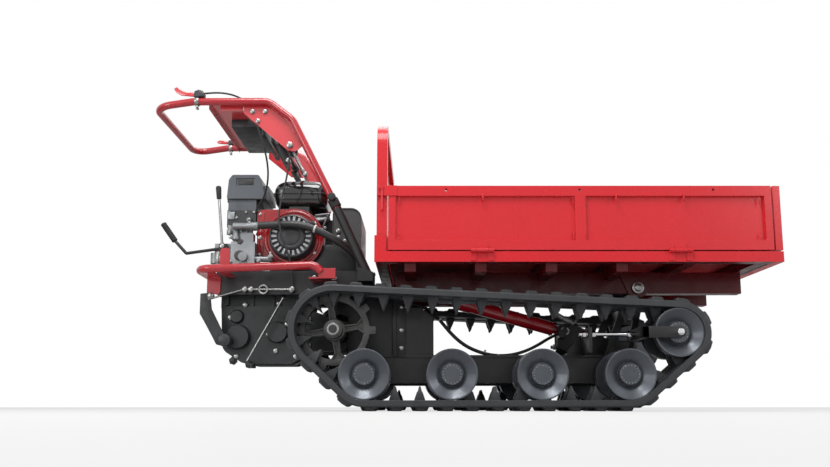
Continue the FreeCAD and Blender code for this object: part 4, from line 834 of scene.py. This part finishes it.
def clevis_rods(work):
    for side in (-1, 1):
        turned(work, (-622, side * 214, 985), (49, 0, -86),
               [(0, 5), (18, 5), (19, 4), (74, 4), (75, 5), (96, 5)], 14)
        turned(work, (-573, side * 214 - 8, 899), (0, 1, 0), [(0, 6), (1, 8), (15, 8), (16, 6)], 16)
        turned(work, (-640, side * 214 - 10, 952), (0, 1, 0), [(0, 6), (1, 9), (19, 9), (20, 6)], 16)
    turned(work, (-672, -238, 1036), (0, 1, 0), [(0, 7), (4, 8), (6, 8)], 6)
    turned(work, (-672, 232, 1036), (0, 1, 0), [(0, 8), (4, 8), (6, 7)], 6)


made_of("clevis_rods", clevis_rods, zinc, edge=0.0003)


def throttle_blade(work):
    slab(work, [(-992, 1189), (-990, 1206), (-1036, 1210), (-1052, 1220), (-1064, 1228), (-1076, 1222),
                (-1068, 1207),
                (-1046, 1194)], -264, -257)
    slab(work, [(-998, 1190), (-996, 1205), (-1040, 1209), (-1052, 1200), (-1044, 1193)], 251, 259)


blade = made_of("throttle_blades", throttle_blade, sheen_lit_cheek_red, edge=0.0024)
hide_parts("hand_levers")


def throttle_housing(work):
    slab(work, [(-998, 1187), (-958, 1188), (-956, 1200), (-964, 1212), (-980, 1216), (-996, 1210)], -269, -245)
    slab(work, [(-998, 1187), (-962, 1188), (-962, 1204), (-972, 1208), (-998, 1206)], 243, 267)
    slab(work, [(-676, 1084), (-640, 990), (-612, 990), (-648, 1090)], -206, -196)
    turned(work, (-627, -214, 995), (0, 1, 0), [(0, 17), (2, 20), (32, 20), (34, 17)], 24)


made_of("throttle_housings", throttle_housing, moulded, edge=0.003)


def throttle_clamp(work):
    for y in (-255, 255):
        turned(work, (-994, y, 1172.2), (1, 0, -0.003), [(0, 15), (0.5, 17), (15.5, 17), (16, 15)], 28)
        block(work, -990, -982, y - 5, y + 5, 1142, 1156)
        turned(work, (-986, y - 12, 1148), (0, 1, 0), [(0, 4.5), (5, 5), (19, 5), (24, 4.5)], 12)


made_of("throttle_clamps", throttle_clamp, zinc, edge=0.0005)


def tube_collars(work):
    # clamps where the handle's tubes enter their posts, with a screw knob
    for side in (-1, 1):
        way = Vector((-175, 0, 350)).normalized()
        start = Vector((-446, side * 255, 753)) + way * 4
        turned(work, start, way, [(0, 19), (1.5, 20.5), (33, 20.5), (34.5, 19)], 28)
        turned(work, (-463, side * 274, 790), (0, side, 0), [(0, 8), (3, 8), (3.5, 15), (14, 15), (16, 13)], 18)


made_of("handle_collars", tube_collars, grip_rubber, edge=0.0008)


# Engine: an air-cooled petrol engine with a finned alloy block, a pressed steel fan shroud, a
# moulded recoil starter, a pressed steel tank, and an air filter box over the carburettor.
alloy = surfaced("cast_alloy", (0.24, 0.25, 0.26), 0.42, metallic=0.8, mottle=0.14, mottle_scale=18.0,
                 grain_scale=500.0, grain=0.45, soft_edge=0.0012, dust=0.10)
dark_alloy = surfaced("engine_block_paint", (0.050, 0.052, 0.055), 0.45, metallic=0.3, mottle=0.2,
                      mottle_scale=15.0,
                      grain_scale=480.0, grain=0.45, edge_wear_and_highlight=(0.3, 0.3, 0.3), edge_wear_and_highlight_by=0.5, dust=0.12)
grey_moulded = surfaced("filter_box_plastic", (0.105, 0.120, 0.138), 0.38, mottle=0.06, grain_scale=950.0,
                        grain=0.22,
                        edge_wear_and_highlight=(0.25, 0.26, 0.28), edge_wear_and_highlight_by=0.5, soft_edge=0.003)
tank_gloss = surfaced("tank_gloss", (0.014, 0.015, 0.016), 0.12, coat=0.6, mottle=0.10, rough_swing=0.03,
                      grain_scale=160.0, grain=0.05, soft_edge=0.003)
heat_black = surfaced("heat_resisting_black", (0.026, 0.025, 0.025), 0.58, mottle=0.3, mottle_scale=25.0,
                      grain_scale=600.0, grain=0.5, edge_wear_and_highlight=(0.15, 0.12, 0.10), edge_wear_and_highlight_by=0.6)
dress(dark_alloy, "engine_block")
shroud_red = surfaced("shroud_gloss_red", (0.34, 0.008, 0.012), 0.20, coat=0.4, mottle=0.05, mottle_scale=6.0,
                      grain_scale=240.0, grain=0.05, edge_wear_and_highlight=(0.5, 0.08, 0.08), edge_wear_and_highlight_by=0.3, soft_edge=0.004)
dress(shroud_red, "fan_shroud")
dress(moulded, "carburettor")
CRANK = (-627.0, 663.0)


def shroud_beads(work):
    # pressed bead round the housing, and the raised rim that the starter sits in
    turned(work, (CRANK[0], -147, CRANK[1]), (0, -1, 0),
           [(0, 114), (1.5, 112), (3.5, 107), (3.5, 104), (1.5, 99), (0, 97)],
           64)
    slab(work, [(-758, 600), (-742, 592), (-742, 768), (-758, 766)], -142, -145)


made_of("shroud_beads", shroud_beads, shroud_red, edge=0.0006)


def starter_cup(work):
    turned(work, (CRANK[0], -148, CRANK[1]), (0, -1, 0),
           [(0, 90), (6, 90), (7.5, 88.5), (26, 88), (35, 86), (40, 82), (41.5, 78.5), (40, 77.5), (33, 77),
            (33, 54.5),
            (40, 54), (42, 52), (44, 46), (44.5, 42), (43.2, 41), (43.2, 35), (44.8, 34), (45.5, 20),
            (45.8, 6)], 64)
    block(work, -567, -541, -188, -166, 709, 722)
    turned(work, (-554, -168, 716), (0, -1, 0), [(0, 7), (4, 7), (5, 4), (22, 4)], 16)


starter = made_of("starter_cup", starter_cup, moulded, edge=0.0006, crisp=28)
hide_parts("recoil_starter")


def starter_vane(work):
    """One raised vane between two air slots, standing on the point and facing +Z, long in X."""
    loft(work, [[(x, y, z) for x, y in ((-0.0105, -0.0042), (0.0105, -0.0052), (0.0105, 0.0052),
                                        (-0.0105, 0.0042))]
                for z in (-0.0005, 0.0052)] + [[(-0.0098, -0.0032, 0.0060), (0.0098, -0.0042, 0.0060),
                                                 (0.0098, 0.0042, 0.0060), (-0.0098, 0.0032, 0.0060)]])


def ring_of(name, shape, count, centre, radius, y, finish):
    """Copies of a shape set radially on a ring that faces the carrier's right."""
    template = mesh_of(name, shape)
    made = bmesh.new()
    for k in range(count):
        a = 2 * math.pi * k / count
        copy = template.copy()
        copy.transform(Matrix.Translation((centre[0] / 1000, y / 1000, centre[1] / 1000))
                       @ Matrix.Rotation(-a, 4, "Y") @ Matrix.Translation((radius / 1000, 0, 0))
                       @ Matrix.Rotation(math.pi / 2, 4, "X"))
        made.from_mesh(copy)
        bpy.data.meshes.remove(copy)
    mesh = bpy.data.meshes.new(name)
    made.to_mesh(mesh)
    made.free()
    mesh.materials.append(finish)
    smooth_to(mesh)
    piece = new_object(name, mesh)
    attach(piece, "chassis")


slot_grey = surfaced("starter_vane_grey", (0.36, 0.37, 0.38), 0.30, metallic=0.5, mottle=0.15,
                     grain_scale=700.0,
                     grain=0.2, soft_edge=0.0006)
ring_of("starter_vanes", starter_vane, 22, CRANK, 66.0, -184.0, slot_grey)


def rounded_ring(x0, x1, y0, y1, z, corner, steps=6):
    """A rectangle with round corners, level at height z, in mm."""
    ring = []
    for cx, cy, start in ((x1 - corner, y1 - corner, 0), (x0 + corner, y1 - corner, 90),
                          (x0 + corner, y0 + corner, 180), (x1 - corner, y0 + corner, 270)):
        for k in range(steps + 1):
            a = math.radians(start + 90 * k / steps)
            ring.append(((cx + corner * math.cos(a)) / 1000, (cy + corner * math.sin(a)) / 1000, z / 1000))
    return ring


def tank_shell(work):
    rings = []
    for z, inset, corner in ((814, 34, 30), (816, 22, 36), (822, 12, 40), (834, 5, 40), (852, 2, 40),
                             (865.5, 2, 40),
                             (866, -3.5, 44), (870.5, -3.5, 44), (871, 1.5, 40), (884, 0.5, 40), (896, 2, 40),
                             (908, 7, 40), (918, 15, 40), (925, 27, 38), (928.5, 44, 34), (929, 60, 26)):
        rings.append(rounded_ring(-726 + inset, -507 - inset, -65 + inset, 150 - inset, z, corner))
    loft(work, rings)


tank = made_of("tank_shell", tank_shell, tank_gloss, edge=0.0, crisp=40)
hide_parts("fuel_tank")


def tank_cap(work):
    turned(work, (-616, 50, 924), (0, 0, 1),
           [(0, 34), (6, 34), (7, 30), (8, 29), (20, 29), (24, 27), (26, 23), (27, 12)],
           36)
    for k in range(12):
        a = math.radians(30 * k)
        turned(work, (-616 + 28.5 * math.cos(a), 50 + 28.5 * math.sin(a), 933), (0, 0, 1),
               [(0, 2.6), (12, 2.6), (14, 1.4)], 8)


made_of("tank_cap", tank_cap, moulded, edge=0.0003)
TANK_SEAM = 0.8706
fixings("tank_bolts", hex_bolt, [((x / 1000, y / 1000, TANK_SEAM), (0, 0, 1), 0.7)
                                 for x in (-722, -511) for y in (-40, 120)], zinc, seed=6)


def filter_trim(work):
    # clamp band under the cover, two clips and the cover's knob
    block(work, -906, -755, -82.5, 91, 838, 842.5)
    for y in (-60, 60):
        slab(work, [(-910, 832), (-906, 830), (-906, 872), (-910, 870)], y, y + 18)
    slab(work, [(-866, 900), (-804, 900), (-804, 922), (-866, 922)], -78.5, -76)
    turned(work, (-835, 5, 938), (0, 0, 1), [(0, 9), (1.6, 9), (2, 8)], 20)


made_of("filter_trim", filter_trim, moulded, edge=0.0006)


def carburettor_trim(work):
    block(work, -896, -870, -97, -91, 752, 782)
    turned(work, (-840, -36, 712), (0, -1, 0), [(0, 12), (34, 12), (35, 11)], 20)
    turned(work, (-812, -102, 748), (0, -1, 0), [(0, 9), (3, 9), (3.5, 5), (7, 5), (8, 4)], 18)
    slab(work, [(-818, 744), (-806, 744), (-792, 716), (-800, 712)], -106, -102)


made_of("carburettor_trim", carburettor_trim, alloy, edge=0.0005)
fixings("carburettor_screws", pan_screw, beside(0.0925, [
    (-892, 724, 1.0), (-794, 724, 1.0), (-892, 782, 1.0), (-794, 782, 1.0), (-862, 760, 1.0),
    (-826, 782, 1.0)]),
        zinc, seed=7)
fixings("shroud_bolts", hex_bolt, beside(0.1480, [(x, z, 0.62) for z in (722, 604) for x in (-712, -542)])
        + beside(0.1425, [(-757, 760, 0.62), (-757, 600, 0.62)]), zinc, seed=8)


def engine_small_parts(work):
    turned(work, (-566, -92, 742), (1, 0.1, 0.25),
           [(0, 9), (4, 12), (26, 12), (28, 8), (60, 8), (62, 11), (76, 11)], 18)
    turned(work, (-520, -96, 716), (0.4, 0, 1), [(0, 5), (50, 5), (51, 8), (62, 8)], 14)
    slab(work, [(-560, 700), (-505, 716), (-502, 708), (-558, 690)], -112, -108)
    turned(work, (-508, -120, 712), (0, 1, 0), [(0, 7), (14, 7)], 6)
    turned(work, (-546, -120, 762), (1, 0, 0.1), [(0, 4), (56, 4)], 12)


made_of("engine_small_parts", engine_small_parts, alloy, edge=0.0005)


def muffler_guard(work):
    # slotted heat guard over the muffler
    for z in range(706, 802, 12):
        block(work, -594, -492, 203, 206, z, z + 6)
    for x in (-594, -498):
        block(work, x, x + 6, 203, 206, 704, 803)
    turned(work, (-500, 168, 716), (1, 0, 0), [(0, 11), (9.5, 11)], 20)


made_of("muffler_guard", muffler_guard, heat_black, edge=0.0005)
dress(grey_moulded, "air_filter")
dress(heat_black, "muffler")


# Hydraulics: a spool valve block of machined alloy with a plated and a black lever under rubber
# grips, and an oil tank bent and welded from sheet and painted black.
dress(alloy, "hydraulic_valve")


def lever_rods(work):
    way = Vector((-19, 0, 193))
    turned(work, (-889, -190, 622), way, [(0, 7), (14, 7), (16, 5), (way.length, 5)], 16)
    turned(work, (-889, -197, 622), (0, 1, 0), [(0, 7), (1, 9), (37, 9)], 20)
    turned(work, (-903, -186, 600), (0, 0, -1), [(0, 12), (40, 12), (41, 9), (52, 9)], 20)


rods = made_of("lever_rods", lever_rods, zinc, edge=0.0004)
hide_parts("valve_levers")


def lever_bar(work):
    for start, end in (((-889, -174, 618), (-1030, -174, 598)), ((-1030, -174, 598), (-1084, -174, 657))):
        way = Vector(end) - Vector(start)
        turned(work, start, way, [(0, 5), (1, 6), (way.length + 1, 6), (way.length + 3, 4)], 16)
    block(work, -904, -874, -184, -164, 604, 634)


made_of("lever_bar", lever_bar, black_coat, edge=0.0008)


def lever_grips(work):
    way = Vector((-50, 0, 70))
    ribs = [(0, 8), (2, 10)]
    for k in range(9):
        ribs += [(4 + 8 * k, 11.5), (8 + 8 * k, 11.5), (9 + 8 * k, 9.5), (11 + 8 * k, 9.5)]
    ribs += [(78, 11.5), (84, 11), (86, 8)]
    turned(work, (-1074, -174, 645), way, ribs, 24)
    turned(work, (-907.5, -190, 808), (-0.08, 0, 1), [(0, 7), (2, 9), (44, 10.5), (48, 9.5), (51, 6)], 24)


made_of("lever_grips", lever_grips, grip_rubber, edge=0.0004)
oil_paint = surfaced("oil_tank_paint", (0.050, 0.052, 0.054), 0.34, mottle=0.12, grain_scale=500.0, grain=0.25,
                     edge_wear_and_highlight=(0.2, 0.2, 0.2), edge_wear_and_highlight_by=0.5, dust=0.08)


def valve_fittings(work):
    for x, z, r in ((-703, 581, 11), (-748, 564, 9)):
        turned(work, (x, -190, z), (0, -1, 0), [(0, r), (7, r), (7.5, r * 0.7), (12, r * 0.7)], 6)
    turned(work, (-866, -172, 706), (0, 0, -1), [(0, 11), (16, 11), (17, 14), (34, 14)], 6)
    turned(work, (-800, -172, 706), (0, 0, -1), [(0, 10), (14, 10), (15, 13), (30, 13)], 6)
    # elbow that the thick hose is clamped to
    turned(work, (-838, -190, 690), (0, 0, -1), [(0, 12), (28, 12), (29, 15), (44, 15)], 20)
    turned(work, (-846, -206, 697), (1, 0, 0), [(0, 10), (2, 13), (68, 13), (69, 16), (96, 16), (97, 14.5)], 24)


made_of("valve_fittings", valve_fittings, alloy, edge=0.0005)


def valve_plugs(work):
    turned(work, (-821, -190, 586), (0, -1, 0), [(0, 20), (5, 20), (6, 18), (6, 10), (9, 10)], 28)
    turned(work, (-821, -190, 640), (0, -1, 0), [(0, 12), (4, 12), (5, 9)], 6)


made_of("valve_plugs", valve_plugs, moulded, edge=0.0005)
fixings("valve_bolts", hex_bolt, beside(0.1922, [
    (-857, 658, 0.8), (-745, 655, 0.8), (-857, 560, 0.8), (-780, 548, 0.8)]), zinc, seed=9)
fixings("lever_tab_bolts", hex_bolt, beside(0.2, [(-876, 600, 1.1)]), zinc, seed=10)


def bend(x, z, radius, angles):
    """Points of a bend about (x, z), in mm."""
    return [(x + radius * math.cos(math.radians(a)), z + radius * math.sin(math.radians(a))) for a in angles]


TANK_SIDE = [(-478, 526), (-364, 526)] + bend(-406, 750, 42, range(0, 91, 10)) + bend(-450, 764, 28,
                                                                                      range(90, 181, 15))
TANK_MIDDLE = (-421, 660)


def oil_tank_shell(work):
    mx, mz = TANK_MIDDLE
    rings = []
    for y, grow in ((-116, 0.93), (-116, 0.955), (-120, 0.965), (-120, 1.0), (-114, 1.0), (114, 1.0),
                    (120, 1.0),
                    (120, 0.96), (116, 0.95), (116, 0.93)):
        rings.append([((mx + (x - mx) * grow) / 1000, y / 1000, (mz + (z - mz) * grow) / 1000) for x,
                      z in TANK_SIDE])
    loft(work, rings)


oil_shell = made_of("oil_tank_shell", oil_tank_shell, oil_paint, edge=0.0, crisp=30)
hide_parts("oil_tank")


def oil_tank_trim(work):
    # filler cap with its neck
    turned(work, (-421, 40, 790), (0, 0, 1), [(0, 26), (6, 26), (7, 22), (20, 22), (24, 18), (25, 10)], 28)


made_of("oil_tank_trim", oil_tank_trim, oil_paint, edge=0.0006)
fixings("oil_tank_clips", nut_and_stud, beside(0.1205,
                                               [(-455, 698, 0.85), (-454, 672, 0.85), (-429, 657, 0.85)]),
        zinc, seed=11)


# Held hoses and cables: rubber hoses with crimped ends to the valve and the lift cylinder, and the
# sheathed throttle and clutch cables. Each follows its route from end to end.
SLEEVE = [(-764, -208, 697), (-722, -208, 700), (-670, -209, 703), (-610, -210, 704), (-550, -208, 692),
          (-490, -200, 664), (-430, -186, 632), (-382, -162, 592), (-352, -144, 548), (-343, -132, 502),
          (-326, -124, 459), (-294, -116, 427), (-254, -110, 411), (-214, -110, 408)]
LIFT_HOSE = [(-213.3, 0, 408), (-183, 0, 407), (-152, 0, 404), (-112, 0, 396), (-74, 0, 368), (-40, 0, 326),
             (-4, 0, 284), (40, 0, 248), (92, 0, 224), (150, 0, 210), (210, 0, 211), (268, 0, 226),
             (322, 16, 252), (368, 38, 281), (407, 58, 299)]
THROTTLE_CABLE = [(-958, -262, 1202), (-920, -262, 1206), (-878, -256, 1206), (-840, -241, 1201),
                  (-804, -229, 1184), (-786, -223, 1148), (-768, -220, 1102), (-750, -214, 1054),
                  (-736, -204, 1006), (-727, -186, 958), (-727, -160, 912), (-738, -130, 868),
                  (-757, -104, 832), (-776, -91, 812), (-788, -84, 792.2)]
CLUTCH_CABLE = [(-632, -228, 983.5), (-636, -229, 930), (-642, -230, 880), (-653, -231, 830),
                (-662, -234, 780), (-668, -235, 735), (-664, -234, 690), (-652, -232, 645),
                (-636, -226, 600), (-622, -218, 556), (-616, -212, 510), (-614, -209, 460)]


def lines(name, routes, finish, node):
    """Round rubber lines along smooth routes, each a list of points in mm and a radius in mm."""
    data = bpy.data.curves.new(name, "CURVE")
    data.dimensions = "3D"
    data.bevel_depth = 0.001
    data.bevel_resolution = 5
    data.resolution_u = 8
    data.use_fill_caps = True
    for points, radius in routes:
        spline = data.splines.new("NURBS")
        spline.points.add(len(points) - 1)
        for spot, (x, y, z) in zip(spline.points, points):
            spot.co = (x / 1000, y / 1000, z / 1000, 1)
            spot.radius = radius
        spline.order_u = 3
        spline.use_endpoint_u = True
    data.materials.append(finish)
    made = new_object(name, data)
    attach(made, "chassis")
    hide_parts(node)
    return made


hose_rubber = surfaced("hose_rubber", (0.016, 0.016, 0.017), 0.44, mottle=0.15, grain_scale=1500.0, grain=0.4,
                       soft_edge=0.0003, dust=0.08)
lines("hydraulic_lines", [(SLEEVE, 14.0)] + [([(x, y + side_y, z) for x, y, z in LIFT_HOSE], 6.0)
                                              for side_y in (-118, -102)], hose_rubber, "hydraulic_hoses")


def hose_ties(work):
    for x, z, way in ((112, 226, (1, 0, -0.25)), (163, 210, (1, 0, 0)), (-60, 352, (1, 0, -1.1))):
        for y in (-118, -102):
            turned(work, (x, y, z), way, [(0, 6.5), (0.5, 7.4), (6, 7.4), (6.5, 6.5)], 18)
    turned(work, (-537, -209, 687), (1, 0, -0.35), [(0, 15), (0.6, 15.4), (7, 15.4), (7.6, 15)], 28)


nylon = surfaced("nylon_ties", (0.62, 0.62, 0.60), 0.45, mottle=0.08, grain_scale=800.0, grain=0.1,
                 soft_edge=0.0003)
made_of("hose_ties", hose_ties, nylon, edge=0.0)


def lift_fittings(work):
    for y in (-118, -102):
        turned(work, (-213, y, 408), (1, 0, 0), [(0, 9), (14, 9), (15, 7.5), (34, 7.5)], 6)
    turned(work, (386, -62, 386), (84, 0, -48),
           [(0, 8), (2, 9.5), (52, 9.5), (53, 13), (80, 13), (82, 10), (96, 10)], 20)
    turned(work, (466, -62, 336), (30, 0, 34), [(0, 5), (52, 4)], 14)


made_of("lift_fittings", lift_fittings, alloy, edge=0.0004)
lines("cable_sheaths", [(THROTTLE_CABLE, 3.5), (CLUTCH_CABLE, 3.5)], hose_rubber, "control_cables")


# Bed: a frame of channel and cross ribs, bright red outside and painted dark red beneath as painted shade,
# a sheet floor, a tube headboard and three drop sides of folded sheet in gloss red, on pin hinges.
# Dark red painted on the frame's underside and inside the rails stands for the shade there: painted shade.
UNDER_SHADE_RED = (0.085, 0.003, 0.005)
RAIL_FACE = 0.3995
RAIL_ENDS = (-0.2895, 1.1150)
RAIL_FOOT = 0.5190
frame_coat = surfaced("bed_frame_coat", RED, 0.30, coat=0.05, shine=0.25, mottle=0.04, mottle_scale=5.0,
                      grain_scale=210.0, grain=0.10, edge_wear_and_highlight=(0.80, 0.20, 0.20), edge_wear_and_highlight_by=0.25, soft_edge=0.0016)


def paint_shade_underneath(material, colour):
    """Painted shade: dark red inside the outer rails, below and between them, by the object's own coordinates.
    """
    tree = material.node_tree
    shader = tree.nodes["Principled BSDF"]
    outer = shader.inputs["Base Color"].links[0].from_socket
    spot = add(tree, "ShaderNodeTexCoord")
    at = add(tree, "ShaderNodeSeparateXYZ", {"Vector": spot.outputs["Object"]}).outputs

    def test(operation, *values):
        return add(tree, "ShaderNodeMath", dict(enumerate(values)), operation=operation).outputs[0]

    side = test("GREATER_THAN", test("ABSOLUTE", at["Y"]), RAIL_FACE)
    end = test("MAXIMUM", test("GREATER_THAN", at["X"], RAIL_ENDS[1]), test("LESS_THAN", at["X"], RAIL_ENDS[0]))
    outside_unshaded = test("MULTIPLY", test("MAXIMUM", side, end), test("GREATER_THAN", at["Z"], RAIL_FOOT))
    tone = add(tree, "ShaderNodeMix", {"Factor": outside_unshaded, "A": (*colour, 1), "B": outer}, data_type="RGBA")
    tree.links.new(tone.outputs["Result"], shader.inputs["Base Color"])


paint_shade_underneath(frame_coat, UNDER_SHADE_RED)
floor_coat = surfaced("bed_floor_coat", (0.50, 0.016, 0.022), 0.62, shine=0.15, mottle=0.10, mottle_scale=7.0,
                      grain_scale=300.0, grain=0.3, dust=0.10)
dress(frame_coat, "bed_frame")
dress(floor_coat, "bed_floor")
dress(red_gloss, "headboard", "side_gate_right", "side_gate_left", "front_gate")


def pivot_heads(work):
    # washer and bolt head at the tipping pivot on each side, and both ends of the cylinder's base pin
    for side in (-1, 1):
        turned(work, (686, side * 203, 460), (0, side, 0),
               [(0, 23), (4, 23), (5, 22), (5, 15), (7, 14), (11, 14), (12, 12)], 28)
    for side in (-1, 1):
        turned(work, (440, side * 29, 313), (0, side, 0), [(0, 19), (4, 19), (5, 17.5), (5.4, 10)], 28)


made_of("pivot_heads", pivot_heads, zinc, edge=0.0005)


GATE_FACE = 400.2


def gate_hooks(work, side):
    # small round-bar hooks under the top rail, for a net or a rope
    for x in (88, 560, 800):
        turned(work, (x, side * 399, 760), (0, side, 0), [(0, 3.5), (9, 3.5), (10, 3)], 12)
        turned(work, (x, side * 406, 762), (0, 0, -1), [(0, 2.6), (1, 3.4), (20, 3.4), (22, 2.4)], 12)


def gate_welds(work, side):
    # weld beads at the panel's corners and along the middle rib
    for x in (-208, 408, 452, 1070):
        for k in range(4):
            turned(work, (x, side * GATE_FACE, 602 + k * 7), (0, side, 0), [(0, 3.4), (1, 2.6), (1.3, 1.4)], 8)
            turned(work, (x, side * GATE_FACE, 752 - k * 7), (0, side, 0), [(0, 3.4), (1, 2.6), (1.3, 1.4)], 8)


for side_name, gate_side in (("right", -1), ("left", 1)):
    made_of("gate_hooks_" + side_name, lambda work: gate_hooks(work, gate_side), red_gloss,
            body="side_gate_" + side_name, edge=0.0)
    made_of("gate_welds_" + side_name, lambda work: gate_welds(work, gate_side), red_gloss,
            body="side_gate_" + side_name, edge=0.0)


# Lift cylinder: a red barrel pinned between the front tower's ears and a chromed rod pinned to the
# bed frame.
dress(shaded_tube_red, "lift_barrel")
dress(chrome, "lift_rod")
